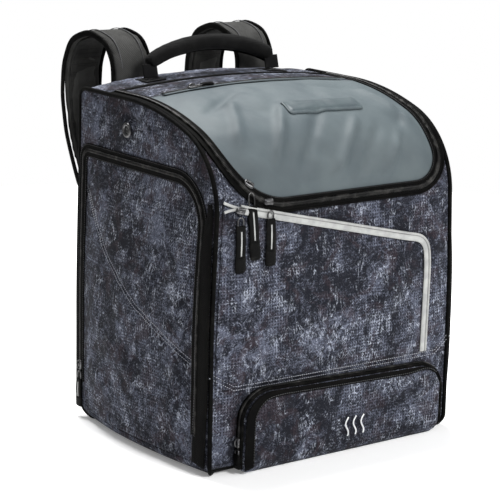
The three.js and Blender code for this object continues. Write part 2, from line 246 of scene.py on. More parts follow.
# ---- surfaces ---------------------------------------------------------------------------
class ShellSurface:
    """The bag's wrap: its side view carried across the width, crowned on top.

    The first parameter is x. The second is the run along the side view: 0 where the front wall
    meets the shoulder, negative down the front, positive over the top and down the back.
    """

    def __init__(self) -> None:
        """Lays out the side view as arcs and straights, every half millimetre."""
        lean = SHOULDER_ANGLE
        top = np.array([TOP_FLAT_Y, TOP_Z - TOP_RADIUS])
        reach = TOP_RADIUS - SHOULDER_RADIUS
        self.shoulder = top + reach * np.array([-math.sin(lean), math.cos(lean)])
        rear, heel = BACK_Y - REAR_RADIUS, BACK_Y - HEEL_RADIUS
        deg = math.degrees(lean)
        points = np.vstack([
            arc(tuple(self.shoulder), SHOULDER_RADIUS, 180, 90 + deg, 200),
            arc(tuple(top), TOP_RADIUS, 90 + deg, 90, 200),
            arc((rear, TOP_Z - REAR_RADIUS), REAR_RADIUS, 90, 0, 40),
            arc((heel, HEEL_RADIUS), HEEL_RADIUS, 0, -90, 80),
            arc((self.shoulder[0] - SHOULDER_RADIUS + TOE_RADIUS, TOE_RADIUS), TOE_RADIUS, -90, -180, 40),
            self.shoulder[None, :] + np.array([[-SHOULDER_RADIUS, 0]]),
        ])
        steps = np.r_[0, np.cumsum(np.linalg.norm(np.diff(points, axis=0), axis=1))]
        self.length = steps[-1]
        self.run = np.arange(0, self.length, 0.5 * MM)
        self.line = np.column_stack([np.interp(self.run, steps, points[:, i]) for i in (0, 1)])
        ahead = np.roll(self.line, -1, axis=0) - np.roll(self.line, 1, axis=0)
        ahead /= np.linalg.norm(ahead, axis=1, keepdims=True)
        self.out = np.column_stack([-ahead[:, 1], ahead[:, 0]])

    def at_height(self, z: float | Array) -> Array:
        """The run at height z on the front, shoulder or sloping top.

        Args:
            z: height.
        Returns:
            The run.
        """
        z = np.asarray(z, float)
        rising = self.run < self.at_depth(TOP_FLAT_Y)
        over = np.interp(z, self.line[rising, 1], self.run[rising])
        return np.where(z < self.shoulder[1], z - self.shoulder[1], over)

    def at_depth(self, y: float) -> float:
        """The run at depth y on the top."""
        top = (self.line[:, 1] > TOP_Z - 0.03) & (self.line[:, 0] < BACK_Y - REAR_RADIUS)
        return float(np.interp(y, self.line[top, 0], self.run[top]))

    def behind(self, z: float) -> float:
        """The run at height z on the back wall."""
        start = self.at_depth(BACK_Y - REAR_RADIUS - 1 * MM) + REAR_RADIUS * math.pi / 2 + 1 * MM
        return start + (TOP_Z - REAR_RADIUS - z)

    def place(self, x: Array, run: Array, lift: Array | float = 0.0) -> Array:
        """Points at x and run, lifted off the wrap.

        Args:
            x, run: the two parameters, in metres.
            lift: distance outwards.
        Returns:
            An array with x, y and z last.
        """
        x, run, lift = np.broadcast_arrays(np.asarray(x, float), np.asarray(run, float), lift)
        at = np.mod(run, self.length)
        y, z, ny, nz = (np.interp(at, self.run, row, period=self.length)
                        for row in (*self.line.T, *self.out.T))
        size = np.hypot(ny, nz)
        wide = 1 - np.clip(np.abs(x) / HALF_WIDTH, 0, 1) ** 4
        belly = BELLY * wide * smooth(z, 0.01, 0.12) * (1 - smooth(z, 0.22, LID_FRONT_Z)) * (y < 0)
        lifted = lift + belly
        y, z = y + lifted * ny / size, z + lifted * nz / size
        crown = CROWN * (1 - (x / HALF_WIDTH) ** 2) * smooth(z, LID_FRONT_Z, TOP_Z)
        wider = (half_width(y, z) - HALF_WIDTH) * (np.abs(x) / HALF_WIDTH) ** 4 * np.sign(x)
        return np.stack([x + wider, y, z + crown], axis=-1)


class SideSurface:
    """One side plane of the bag: the parameters are y and z."""

    def __init__(self, sign: int) -> None:
        """sign is -1 on the left and 1 on the right."""
        self.sign = sign

    def place(self, y: Array, z: Array, lift: Array | float = 0.0) -> Array:
        """Points at y and z, lifted off the plane."""
        y, z, lift = np.broadcast_arrays(np.asarray(y, float), np.asarray(z, float), lift)
        return np.stack([self.sign * (half_width(y, z) + lift), y, z], axis=-1)


Surface = ShellSurface | SideSurface
SHELL = ShellSurface()


# ---- meshes -----------------------------------------------------------------------------
def build(name: str, points: Array, faces: list, smooth_faces: bool = True) -> bpy.types.Object:
    """Makes a mesh object at the origin from points and faces.

    Args:
        points: any shape ending in 3.
        faces: corner numbers.
        smooth_faces: shades the faces smooth.
    Returns:
        The object.
    """
    mesh = bpy.data.meshes.new(name)
    mesh.from_pydata(points.reshape(-1, 3).tolist(), [], faces)
    mesh.validate()
    if smooth_faces:
        mesh.polygons.foreach_set("use_smooth", np.ones(len(mesh.polygons), bool))
    mesh.update()
    piece = bpy.data.objects.new(name, mesh)
    bpy.context.scene.collection.objects.link(piece)
    return piece


def quads(rows: int, columns: int, wrap_rows: bool, wrap_columns: bool) -> Array:
    """Corner numbers of the quads of a grid stored row by row.

    Args:
        rows, columns: the grid's size.
        wrap_rows, wrap_columns: joins the last to the first.
    Returns:
        Four corners a row.
    """
    r = np.arange(rows if wrap_rows else rows - 1)
    c = np.arange(columns if wrap_columns else columns - 1)
    r, c = np.meshgrid(r, c, indexing="ij")
    r2, c2 = (r + 1) % rows, (c + 1) % columns
    corners = [r * columns + c, r * columns + c2, r2 * columns + c2, r2 * columns + c]
    return np.stack(corners, -1).reshape(-1, 4)


def facing_out(points: Array, faces: Array, out: Array) -> Array:
    """The faces, turned over if most of them look away from out.

    Args:
        points, faces: the mesh.
        out: outward direction at each point.
    Returns:
        The faces.
    """
    flat = points.reshape(-1, 3)
    corners = flat[faces]
    normal = np.cross(corners[:, 2] - corners[:, 0], corners[:, 3] - corners[:, 1])
    agree = np.einsum("ij,ij->i", normal, out.reshape(-1, 3)[faces[:, 0]]).sum()
    return faces if agree > 0 else faces[:, ::-1]


def thicken(piece: bpy.types.Object, thickness: float, lining: bool = False) -> None:
    """Gives an open sheet a wall inwards, lined with the second material if asked.

    Args:
        piece: the sheet.
        thickness: the wall.
        lining: gives the inner faces the second material.
    """
    wall = piece.modifiers.new("wall", "SOLIDIFY")
    wall.thickness = thickness
    wall.offset = -1.0
    wall.use_rim = True
    wall.material_offset = 1 if lining else 0
    wall.use_even_offset = False


def subdivide(piece: bpy.types.Object, levels: int = 1) -> None:
    """Adds a live subdivision, equal in view and render."""
    mod = piece.modifiers.new("fine", "SUBSURF")
    mod.levels = mod.render_levels = levels


Lift = Callable[[Array, Array, Array], Array]


def nearest(u: Array, v: Array, dots: Array) -> tuple[Array, Array, Array]:
    """The distance to the closest of many dots, and that dot's two coordinates, for each grid point.

    Args:
        u, v: where to measure.
        dots: the dots, a row each.
    Returns:
        Distance and both coordinates.
    """
    far, near_u, near_v = np.zeros(u.shape), np.zeros(u.shape), np.zeros(u.shape)
    for row in range(len(u)):
        gap = np.hypot(u[row][:, None] - dots[:, 0], v[row][:, None] - dots[:, 1])
        best = gap.argmin(axis=1)
        far[row] = gap[np.arange(len(best)), best]
        near_u[row], near_v[row] = dots[best].T
    return far, near_u, near_v


def inside(u: Array, v: Array, outline: Array) -> Array:
    """True where a ray to the right crosses the closed outline an odd number of times.

    Args:
        u, v: where to test.
        outline: the closed line.
    Returns:
        One truth value a point.
    """
    a, b = outline, np.roll(outline, -1, axis=0)
    rise = np.where(a[:, 1] == b[:, 1], 1e-12, b[:, 1] - a[:, 1])
    hits = np.zeros(u.shape, bool)
    for row in range(len(u)):
        across, up = u[row][:, None], v[row][:, None]
        crossed = (a[:, 1] > up) != (b[:, 1] > up)
        at = a[:, 0] + (up - a[:, 1]) / rise * (b[:, 0] - a[:, 0])
        hits[row] = (crossed & (across < at)).sum(axis=1) % 2 == 1
    return hits


@dataclass
class Relief:
    """Height of a sewn panel over its surface, from its two parameters and the distance to its edge.

    The panel swells from its edge to puff at spread inside, carries irregular ripples and named
    folds, and sinks in a narrow bell-shaped groove along each seam.
    """
    level: float = 0.0
    puff: float = 0.002
    spread: float = 0.035
    ripples: float = 0.0009
    size: float = 0.07
    seed: int = 1
    folds: tuple[tuple[tuple[float, float], tuple[float, float], float, float], ...] = ()
    grooves: tuple[tuple[tuple[float, float], ...], ...] = ()
    groove_depth: float = 0.0012
    groove_width: float = 0.0045
    roll: float = 0.0

    def __call__(self, u: Array, v: Array, d: Array) -> Array:
        """The height at each point, with d the distance to the edge.

        Args:
            u, v: coordinates.
            d: distance to the edge.
        Returns:
            Heights in metres.
        """
        inner = smooth(d, 0.0, self.spread)
        height = self.level + self.puff * inner
        height = height + self.ripples * ripple(u, v, self.seed, self.size) * inner
        height = height + 0.4 * self.ripples * ripple(u, v, self.seed + 50, self.size * 0.35) * inner
        for start, end, width, amount in self.folds:
            height = height + amount * fold(u, v, start, end, width) * inner
        for line in self.grooves:
            dots = resample(np.array(line), 200, False)
            gap = nearest(u, v, dots)[0]
            height = height - self.groove_depth * np.exp(-(gap / self.groove_width) ** 2)
        if self.roll:
            height = height - self.roll * (1 - np.sqrt(1 - (1 - np.clip(d / self.roll, 0, 1)) ** 2))
        return height


def cut_panel(name: str, surface: Surface, outer: Array, lift: Lift, thickness: float = 2 * MM,
              pitch: float = 3 * MM, hole: Array | None = None) -> bpy.types.Object:
    """A sewn panel: a grid over the outline's box, trimmed to the outline and lifted off its surface.

    Cells whose middle lies inside the outline and outside the hole stay, and the points round
    their rim move to the closest point of the line.

    Args:
        outer, hole: closed lines in the surface's parameters.
        lift: height from both parameters and the distance to the nearest line.
        thickness: the fabric's wall, added inwards.
        pitch: the grid's step.
    Returns:
        The piece.
    """
    low, high = outer.min(axis=0), outer.max(axis=0)
    count = np.maximum(3, np.ceil((high - low) / pitch).astype(int) + 1)
    u, v = np.meshgrid(*(np.linspace(low[i], high[i], count[i]) for i in (0, 1)), indexing="ij")
    lines = [outer] if hole is None else [outer, hole]
    dots = np.vstack([resample(line, 700, True) for line in lines])
    d, near_u, near_v = nearest(u, v, dots)
    mid_u, mid_v = (0.25 * (g[1:, 1:] + g[:-1, 1:] + g[1:, :-1] + g[:-1, :-1]) for g in (u, v))
    kept = inside(mid_u, mid_v, outer)
    if hole is not None:
        kept &= ~inside(mid_u, mid_v, hole)
    faces = quads(count[0], count[1], False, False)[kept.reshape(-1)]
    uses = np.bincount(faces.reshape(-1), minlength=u.size).reshape(u.shape)
    rim = (uses > 0) & (uses < 4)
    u, v, d = np.where(rim, near_u, u), np.where(rim, near_v, v), np.where(rim, 0.0, d)
    heights = lift(u, v, d)
    points = surface.place(u, v, heights)
    out = surface.place(u, v, heights + MM) - points
    faces = facing_out(points, faces, out)
    used = np.flatnonzero(uses.reshape(-1))
    renumber = np.zeros(u.size, int)
    renumber[used] = np.arange(len(used))
    piece = build(name, points.reshape(-1, 3)[used], renumber[faces].tolist())
    thicken(piece, thickness, True)
    return piece


def circle(radius: float, count: int = 10) -> Array:
    """A round section."""
    turn = np.linspace(0, 2 * np.pi, count, endpoint=False)
    return radius * np.column_stack([np.cos(turn), np.sin(turn)])


def strip(width: float, thick: float, crown: float = 0.0) -> Array:
    """A flat section with soft edges, thick centred on 0, its upper face raised by crown in the middle.

    Args:
        width, thick: the section's size.
        crown: rise of its middle.
    Returns:
        The outline, anticlockwise.
    """
    w, t = width / 2, thick / 2
    e = min(t, w) * 0.6
    top = [(w, t - e), (w - e, t), (w * 0.4, t + crown * 0.8), (0, t + crown),
           (-w * 0.4, t + crown * 0.8), (-w + e, t), (-w, t - e)]
    low = [(-w, -t + e), (-w + e, -t), (w - e, -t), (w, -t + e)]
    return np.array(top + low)


def sweep(name: str, path: Array, up: Array, section: Array, closed: bool = False,
          scale: Array | None = None) -> bpy.types.Object:
    """Carries a section along a path.

    Args:
        path: points in metres.
        up: the direction of the section's second axis at each point.
        section: closed outline in (side, up), anticlockwise.
        scale: size of the section at each point.
    Returns:
        A closed piece: its ends are capped unless the path is closed.
    """
    count, corners = len(path), len(section)
    if closed:
        along = np.roll(path, -1, axis=0) - np.roll(path, 1, axis=0)
    else:
        along = np.gradient(path, axis=0)
    along /= np.linalg.norm(along, axis=1, keepdims=True)
    side = np.cross(along, up)
    side /= np.linalg.norm(side, axis=1, keepdims=True)
    top = np.cross(side, along)
    size = np.ones(count) if scale is None else scale
    points = (path[:, None] + size[:, None, None] * (section[None, :, :1] * side[:, None]
                                                    + section[None, :, 1:] * top[:, None]))
    faces = quads(count, corners, closed, True)[:, ::-1]
    flat = points.reshape(-1, 3)
    cells = faces.tolist()
    if not closed:
        first, last = len(flat), len(flat) + 1
        flat = np.vstack([flat, points[0].mean(0), points[-1].mean(0)])
        ring = np.arange(corners)
        nxt = (ring + 1) % corners
        end = (count - 1) * corners
        cells += np.column_stack([np.full(corners, first), ring, nxt]).tolist()
        cells += np.column_stack([np.full(corners, last), end + nxt, end + ring]).tolist()
    piece = build(name, flat, cells)
    fix_normals(piece)
    return piece


def corners_of(mesh: bpy.types.Mesh) -> Array:
    """A mesh's points, one row each."""
    flat = np.zeros(len(mesh.vertices) * 3)
    mesh.vertices.foreach_get("co", flat)
    return flat.reshape(-1, 3)


def fix_normals(piece: bpy.types.Object) -> None:
    """Turns a closed mesh's faces outwards if its volume comes out negative."""
    mesh = piece.data
    mesh.calc_loop_triangles()
    numbers = np.zeros(len(mesh.loop_triangles) * 3, np.int32)
    mesh.loop_triangles.foreach_get("vertices", numbers)
    a, b, c = corners_of(mesh)[numbers.reshape(-1, 3)].transpose(1, 0, 2)
    if np.einsum("ij,ij->i", a, np.cross(b, c)).sum() < 0:
        mesh.flip_normals()


def on_surface(surface: Surface, line: Array, lift: float | Array) -> tuple[Array, Array]:
    """Points of a line in a surface's parameters, and the outward direction at each.

    Args:
        surface: carries the line.
        line: two parameters a row.
        lift: height.
    Returns:
        Points and directions.
    """
    points = surface.place(line[:, 0], line[:, 1], lift)
    out = surface.place(line[:, 0], line[:, 1], np.asarray(lift) + MM) - points
    return points, out / np.linalg.norm(out, axis=1, keepdims=True)


def tape(name: str, surface: Surface, line: Array, width: float, lift: float, thick: float = 1.2 * MM,
         crown: float = 0.0) -> bpy.types.Object:
    """A flat band carried along a line on a surface."""
    path, up = on_surface(surface, line, lift)
    return sweep(name, path, up, strip(width, thick, crown))


def coil(name: str, surface: Surface, line: Array, lift: float, radius: float = 1.5 * MM,
         pitch: float = 1.7 * MM) -> bpy.types.Object:
    """A zip coil: a flattened tube whose size swells and shrinks once for each turn of the coil.

    Args:
        surface, line, lift: as on_surface has them.
        radius: the tube's size.
        pitch: one turn.
    Returns:
        The coil.
    """
    total = np.linalg.norm(np.diff(line, axis=0), axis=1).sum()
    count = int(total / pitch) * 3
    path, up = on_surface(surface, resample(line, count, False), lift)
    scale = 0.86 + 0.22 * np.cos(np.arange(count) * 2 * np.pi / 3)
    return sweep(name, path, up, circle(radius, 6) * np.array([1.35, 0.8]), False, scale)


def stitches(name: str, surface: Surface, line: Array, lift: float, pitch: float = 3.4 * MM,
             length: float = 2.6 * MM, radius: float = 0.55 * MM) -> bpy.types.Object:
    """A row of thread stitches: small six-sided spindles, one for each pitch along the line.

    Each spindle has three rings of six points and two tips, and its middle is the widest.
    """
    total = np.linalg.norm(np.diff(line, axis=0), axis=1).sum()
    count = max(2, int(total / pitch))
    path, up = on_surface(surface, resample(line, count, False), lift)
    along = np.gradient(path, axis=0)
    along /= np.linalg.norm(along, axis=1, keepdims=True)
    side = np.cross(along, up)
    ring = circle(1.0, 6)
    rings = [(-0.42, 0.55), (0.0, 1.0), (0.42, 0.55)]
    local = [np.column_stack([np.full(6, at * length), ring * size * radius]) for at, size in rings]
    local = np.vstack([*local, [[-length / 2, 0, 0]], [[length / 2, 0, 0]]])
    points = (path[:, None] + local[None, :, :1] * along[:, None] + local[None, :, 1:2] * side[:, None]
              + local[None, :, 2:] * up[:, None])
    one = quads(3, 6, False, True).tolist()
    one += [[18, (i + 1) % 6, i] for i in range(6)] + [[19, 12 + i, 12 + (i + 1) % 6] for i in range(6)]
    faces = [[corner + k * 20 for corner in face] for k in range(count) for face in one]
    piece = build(name, points, faces)
    fix_normals(piece)
    return piece


def double_stitch(name: str, surface: Surface, line: Array, lift: float, apart: float, thread: "Finish",
                  body: str) -> None:
    """Two parallel rows of stitches, dressed and riding on a body."""
    for label, step in (("a", -apart / 2), ("b", apart / 2)):
        dress(stitches(f"{name}_{label}", surface, offset(line, step, False), lift), body, thread)


def lathe(name: str, profile: Path2, place: Matrix, count: int = 40) -> bpy.types.Object:
    """Turns a closed profile of (radius, height) round an axis and puts it in place.

    Args:
        profile: radius and height a row.
        place: where it goes.
        count: sides.
    Returns:
        The piece.
    """
    turn = np.linspace(0, 2 * np.pi, count, endpoint=False)
    r, h = np.array(profile).T
    points = np.stack([np.outer(np.cos(turn), r), np.outer(np.sin(turn), r),
                       np.broadcast_to(h, (count, len(h)))], -1)
    flat = points.reshape(-1, 3) @ np.array(place.to_3x3()).T + np.array(place.translation)
    piece = build(name, flat, quads(count, len(profile), True, True).tolist())
    fix_normals(piece)
    return piece


def dress(piece: bpy.types.Object, body: str, finish: "Finish", *replaced: str,
          lining: "Finish | None" = None, padded: float | None = None) -> bpy.types.Object:
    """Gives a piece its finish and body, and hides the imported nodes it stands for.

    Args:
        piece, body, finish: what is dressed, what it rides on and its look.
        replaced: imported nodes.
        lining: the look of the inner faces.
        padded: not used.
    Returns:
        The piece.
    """
    piece.data.materials.append(finish.material())
    if lining is not None:
        piece.data.materials.append(lining.material())
    elif any(m.type == "SOLIDIFY" and m.material_offset for m in piece.modifiers):
        piece.data.materials.append(LINING.material())
    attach(piece, body)
    if replaced:
        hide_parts(*replaced)
    LOG.info("%s on %s", piece.name, body)
    return piece


# ---- finishes ---------------------------------------------------------------------------
Colour = tuple[float, float, float, float]


def tint(red: int, green: int, blue: int) -> Colour:
    """A display colour from 0 to 255 as linear light."""
    parts = (c / 255 for c in (red, green, blue))
    return (*(c / 12.92 if c <= 0.04045 else ((c + 0.055) / 1.055) ** 2.4 for c in parts), 1.0)


Socket = bpy.types.NodeSocket
Value = Socket | float | Colour


class Tree:
    """Adds nodes to one node tree and links them."""

    def __init__(self, tree: bpy.types.NodeTree) -> None:
        """Keeps the tree."""
        self.tree = tree

    def node(self, kind: str, values: dict[int | str, Value] | None = None,
             **settings: object) -> bpy.types.Node:
        """Adds a node, sets its properties, and sets or links its inputs.

        Args:
            kind: the node type.
            values: inputs by name or number.
            settings: properties.
        Returns:
            The node.
        """
        made = self.tree.nodes.new(kind)
        for key, value in settings.items():
            setattr(made, key, value)
        for key, value in (values or {}).items():
            if isinstance(value, Socket):
                self.tree.links.new(value, made.inputs[key])
            else:
                made.inputs[key].default_value = value
        return made

    def sum(self, kind: str, a: Value, b: Value = 0.0, clamp: bool = False) -> Socket:
        """The result of a Math node."""
        return self.node("ShaderNodeMath", {0: a, 1: b}, operation=kind, use_clamp=clamp).outputs[0]

    def mix(self, share: Value, a: Value, b: Value) -> Socket:
        """A mix of two colours."""
        return self.node("ShaderNodeMix", {0: share, 6: a, 7: b}, data_type="RGBA").outputs[2]

    def ramp(self, value: Value, low: float, high: float) -> Socket:
        """0 below low, 1 above high and smooth between."""
        values = {"Value": value, "From Min": low, "From Max": high}
        return self.node("ShaderNodeMapRange", values, interpolation_type="SMOOTHSTEP").outputs[0]

    def noise(self, place: Socket, scale: float, detail: float = 3.0, rough: float = 0.55,
              distortion: float = 0.0) -> Socket:
        """Fractal noise between 0 and 1.

        Args:
            place: coordinates.
            scale, detail, rough, distortion: the noise.
        Returns:
            The noise.
        """
        values = {"Vector": place, "Scale": scale, "Detail": detail, "Roughness": rough,
                  "Distortion": distortion}
        return self.node("ShaderNodeTexNoise", values).outputs[0]

    def place(self) -> Socket:
        """Object coordinates."""
        return self.node("ShaderNodeTexCoord").outputs["Object"]


def group(name: str, inputs: dict[str, float | Colour], outputs: dict[str, str]) -> tuple:
    """Makes a node group with named sockets, or finds the one made before.

    Returns:
        The group, its Tree and its input and output nodes; the Tree is None if it existed.
    """
    found = bpy.data.node_groups.get(name)
    if found:
        return found, None, None, None
    made = bpy.data.node_groups.new(name, "ShaderNodeTree")
    for label, value in inputs.items():
        kind = "NodeSocketColor" if isinstance(value, tuple) else "NodeSocketFloat"
        socket = made.interface.new_socket(label, in_out="INPUT", socket_type=kind)
        socket.default_value = value
    for label, kind in outputs.items():
        made.interface.new_socket(label, in_out="OUTPUT", socket_type=kind)
    tree = Tree(made)
    return made, tree, tree.node("NodeGroupInput"), tree.node("NodeGroupOutput")


def weave_group() -> bpy.types.NodeTree:
    """Crossing threads: the product of two sine waves in the plane that the surface mostly faces.

    Returns:
        The node group.
    """
    made, tree, given, result = group("weave", {"Threads per metre": 700.0},
                                      {"Height": "NodeSocketFloat", "Dots": "NodeSocketFloat"})
    if tree is None:
        return made
    x, y, z = tree.node("ShaderNodeSeparateXYZ", {0: tree.place()}).outputs
    facing = tree.node("ShaderNodeSeparateXYZ", {0: tree.node("ShaderNodeNewGeometry").outputs["Normal"]})
    sideways = tree.sum("GREATER_THAN", tree.sum("ABSOLUTE", facing.outputs[0]), 0.7)
    level = tree.sum("GREATER_THAN", tree.sum("ABSOLUTE", facing.outputs[2]), 0.8)
    first = tree.node("ShaderNodeMix", {0: sideways, 2: x, 3: y}).outputs[0]
    second = tree.node("ShaderNodeMix", {0: level, 2: z, 3: y}).outputs[0]
    turn = tree.sum("MULTIPLY", given.outputs[0], math.pi)
    waves = [tree.sum("SINE", tree.sum("MULTIPLY", way, turn)) for way in (first, second)]
    tree.tree.links.new(tree.sum("MULTIPLY", *waves), result.inputs[0])
    squares = [tree.sum("MULTIPLY", wave, wave) for wave in waves]
    tree.tree.links.new(tree.sum("MULTIPLY", *squares), result.inputs[1])
    return made


def crease_group() -> bpy.types.NodeTree:
    """Soft creases: fractal noise stretched along a slant and bent on itself.

    Returns:
        The node group.
    """
    made, tree, given, result = group("creases", {"Scale": 14.0}, {"Height": "NodeSocketFloat"})
    if tree is None:
        return made
    turned = tree.node("ShaderNodeMapping", {"Vector": tree.place(), "Rotation": (0.3, 0.5, 0.7),
                                             "Scale": (0.45, 1.2, 1.0)}).outputs[0]
    wave = tree.noise(turned, 1.0, 2.0, 0.45, 0.6)
    tree.tree.links.new(given.outputs[0], wave.node.inputs["Scale"])
    tree.tree.links.new(wave, result.inputs[0])
    return made


def dust_group() -> bpy.types.NodeTree:
    """Handling wear: where edges stand out and noise is high.

    Returns:
        The node group.
    """
    made, tree, given, result = group("wear", {"Scale": 60.0}, {"Mask": "NodeSocketFloat"})
    if tree is None:
        return made
    edge = tree.ramp(tree.node("ShaderNodeNewGeometry").outputs["Pointiness"], 0.5, 0.62)
    grain = tree.noise(tree.place(), 60.0, 5.0, 0.6)
    tree.tree.links.new(given.outputs[0], grain.node.inputs["Scale"])
    worn = tree.sum("MULTIPLY", tree.ramp(grain, 0.45, 0.75), tree.sum("ADD", edge, 0.03), True)
    tree.tree.links.new(worn, result.inputs[0])
    return made


def grunge_group() -> bpy.types.NodeTree:
    """The printed cloth: blotches and flecks of noise, a dotted mesh in patches, and slanted scratches.

    Returns:
        The node group.
    """
    colours = {"Dark": tint(24, 25, 31), "Middle": tint(84, 88, 102), "Light": tint(186, 192, 206)}
    made, tree, given, result = group("grunge print", colours, {"Color": "NodeSocketColor"})
    if tree is None:
        return made
    place = tree.place()
    zone = tree.ramp(tree.noise(place, 9.0, 3.0, 0.6, 1.2), 0.40, 0.60)
    blotch = tree.noise(place, 22.0, 7.0, 0.70, 2.4)
    fleck = tree.noise(place, 80.0, 9.0, 0.78, 3.2)
    speck = tree.noise(place, 520.0, 4.0, 0.85)
    mixed = tree.sum("ADD", tree.sum("MULTIPLY", blotch, 0.34), tree.sum("MULTIPLY", fleck, 0.36))
    mixed = tree.sum("ADD", mixed, tree.sum("MULTIPLY", speck, 0.30))
    mixed = tree.sum("ADD", mixed, tree.sum("MULTIPLY", tree.sum("SUBTRACT", zone, 0.6), 0.05))
    base = tree.mix(tree.ramp(mixed, 0.462, 0.578), given.outputs["Dark"], given.outputs["Middle"])
    brown = tree.ramp(tree.noise(place, 30.0, 5.0, 0.65, 0.8), 0.50, 0.62)
    base = tree.mix(tree.sum("MULTIPLY", brown, 0.50), base, tint(52, 42, 46))
    lights = tree.sum("MULTIPLY", tree.ramp(fleck, 0.53, 0.64), tree.ramp(speck, 0.42, 0.60))
    lights = tree.sum("MULTIPLY", lights, tree.sum("ADD", tree.sum("MULTIPLY", zone, 0.70), 0.15))
    base = tree.mix(lights, base, given.outputs["Light"])
    slant = tree.node("ShaderNodeMapping", {"Vector": place, "Rotation": (0.55, 0.4, 0.9),
                                            "Scale": (1.0, 1.0, 0.35)}).outputs[0]
    wander = tree.sum("ABSOLUTE", tree.sum("SUBTRACT", tree.noise(slant, 55.0, 5.0, 0.62, 2.6), 0.5))
    stroke = tree.sum("SUBTRACT", 1.0, tree.ramp(wander, 0.008, 0.030))
    broken = tree.ramp(tree.noise(place, 38.0, 5.0, 0.7), 0.50, 0.60)
    stroke = tree.sum("MULTIPLY", tree.sum("MULTIPLY", stroke, broken), tree.ramp(speck, 0.36, 0.56))
    base = tree.mix(tree.sum("MULTIPLY", stroke, 0.72), base, given.outputs["Light"])
    dots = tree.node("ShaderNodeGroup", {"Threads per metre": 235.0}, node_tree=weave_group()).outputs[1]
    patch = tree.ramp(tree.noise(place, 14.0, 3.0, 0.6), 0.42, 0.52)
    dotted = tree.sum("MULTIPLY", tree.ramp(dots, 0.20, 0.60), patch)
    base = tree.mix(tree.sum("MULTIPLY", dotted, 0.80), base, given.outputs["Dark"])
    tree.tree.links.new(base, result.inputs[0])
    return made


@dataclass(frozen=True)
class Finish:
    """A woven or moulded finish: a colour, its lighter shade in patches, threads, creases and wear."""
    name: str
    slot: Slot
    colour: Colour
    second: Colour
    roughness: float = 0.78
    threads: float = 900.0
    thread_depth: float = 0.25 * MM
    crease_depth: float = 0.0
    crease_scale: float = 14.0
    patch_scale: float = 30.0
    wear: float = 0.12
    sheen: float = 0.0
    metallic: float = 0.0
    printed: bool = False
    holes: float = 0.0
    specular: float = 0.35

    def material(self) -> bpy.types.Material:
        """The Blender material, made once.

        Returns:
            The material.
        """
        found = bpy.data.materials.get(self.name)
        if found:
            return found
        made = bpy.data.materials.new(self.name)
        made.use_nodes = True
        made.node_tree.nodes.clear()
        tree = Tree(made.node_tree)
        place = tree.place()
        weave = tree.node("ShaderNodeGroup", {"Threads per metre": self.threads},
                          node_tree=weave_group()).outputs[0]
        worn = tree.node("ShaderNodeGroup", {"Scale": 80.0}, node_tree=dust_group()).outputs[0]
        if self.printed:
            colour = tree.node("ShaderNodeGroup", node_tree=grunge_group()).outputs[0]
        else:
            patches = tree.ramp(tree.noise(place, self.patch_scale, 4.0, 0.6), 0.38, 0.66)
            colour = tree.mix(patches, self.colour, self.second)
        height = tree.sum("MULTIPLY", weave, self.thread_depth)
        if self.holes:
            pits = tree.node("ShaderNodeTexVoronoi", {"Vector": place, "Scale": self.holes,
                                                      "Randomness": 0.25}).outputs["Distance"]
            pit_and_shade = tree.ramp(pits, 0.38, 0.22)
            # The holes are painted near black: painted shade in the mesh's pits, on top of their sunk bump.
            colour = tree.mix(tree.sum("MULTIPLY", pit_and_shade, 0.75), colour, tint(10, 10, 11))
            height = tree.sum("SUBTRACT", height, tree.sum("MULTIPLY", pit_and_shade, 0.8 * MM))
        thread_shade = tree.sum("MULTIPLY", tree.ramp(weave, 0.1, 0.9), 0.10)
        colour = tree.mix(thread_shade, colour, tint(12, 12, 13))
        colour = tree.mix(tree.sum("MULTIPLY", worn, self.wear), colour, tint(150, 148, 144))
        if self.crease_depth:
            crease = tree.node("ShaderNodeGroup", {"Scale": self.crease_scale}, node_tree=crease_group())
            height = tree.sum("ADD", height, tree.sum("MULTIPLY", crease.outputs[0], self.crease_depth))
        rough = tree.sum("ADD", self.roughness, tree.sum("MULTIPLY", worn, 0.12), True)
        bump = tree.node("ShaderNodeBump", {"Height": height, "Distance": 1.0, "Strength": 0.7}).outputs[0]
        shader = tree.node("ShaderNodeBsdfPrincipled", {"Base Color": colour, "Roughness": rough,
                                                        "Normal": bump, "Metallic": self.metallic})
        shader.inputs["Sheen Weight"].default_value = self.sheen
        shader.inputs["Sheen Roughness"].default_value = 0.5
        shader.inputs["Specular IOR Level"].default_value = self.specular
        tree.node("ShaderNodeOutputMaterial", {"Surface": shader.outputs[0]})
        return made


PRINT = Finish("grunge_print_cloth", Slot.PRINTED, tint(50, 50, 60), tint(70, 72, 86), 0.80, 900.0,
               0.20 * MM, 2.4 * MM, 12.0, printed=True, wear=0.03, sheen=0.03, specular=0.05)
SLATE = Finish("slate_twill", Slot.SMOOTH, tint(69, 78, 82), tint(78, 87, 90), 0.60, 1100.0,
               0.12 * MM, 2.2 * MM, 9.0, 12.0, wear=0.05, specular=0.30)
TRIM = Finish("black_binding", Slot.TRIM, tint(7, 7, 7), tint(11, 11, 10), 0.60, 800.0, 0.25 * MM,
              wear=0.04, specular=0.025)
WEBBING = Finish("ribbed_webbing", Slot.TRIM, tint(18, 18, 19), tint(25, 25, 25), 0.70, 520.0, 0.40 * MM,
                 wear=0.06, specular=0.04)
COIL = Finish("coil_nylon", Slot.TRIM, tint(12, 12, 12), tint(22, 22, 21), 0.30, 1500.0, 0.05 * MM,
              wear=0.25, specular=0.12)
GREY_TAPE = Finish("grey_zip_tape", Slot.REFLECTIVE, tint(146, 147, 146), tint(164, 165, 163), 0.42,
                   1000.0, 0.12 * MM, wear=0.0, patch_scale=60.0)
GREY_COIL = Finish("grey_coil", Slot.REFLECTIVE, tint(96, 97, 97), tint(118, 118, 117), 0.35, 1500.0,
                   0.05 * MM, wear=0.1)
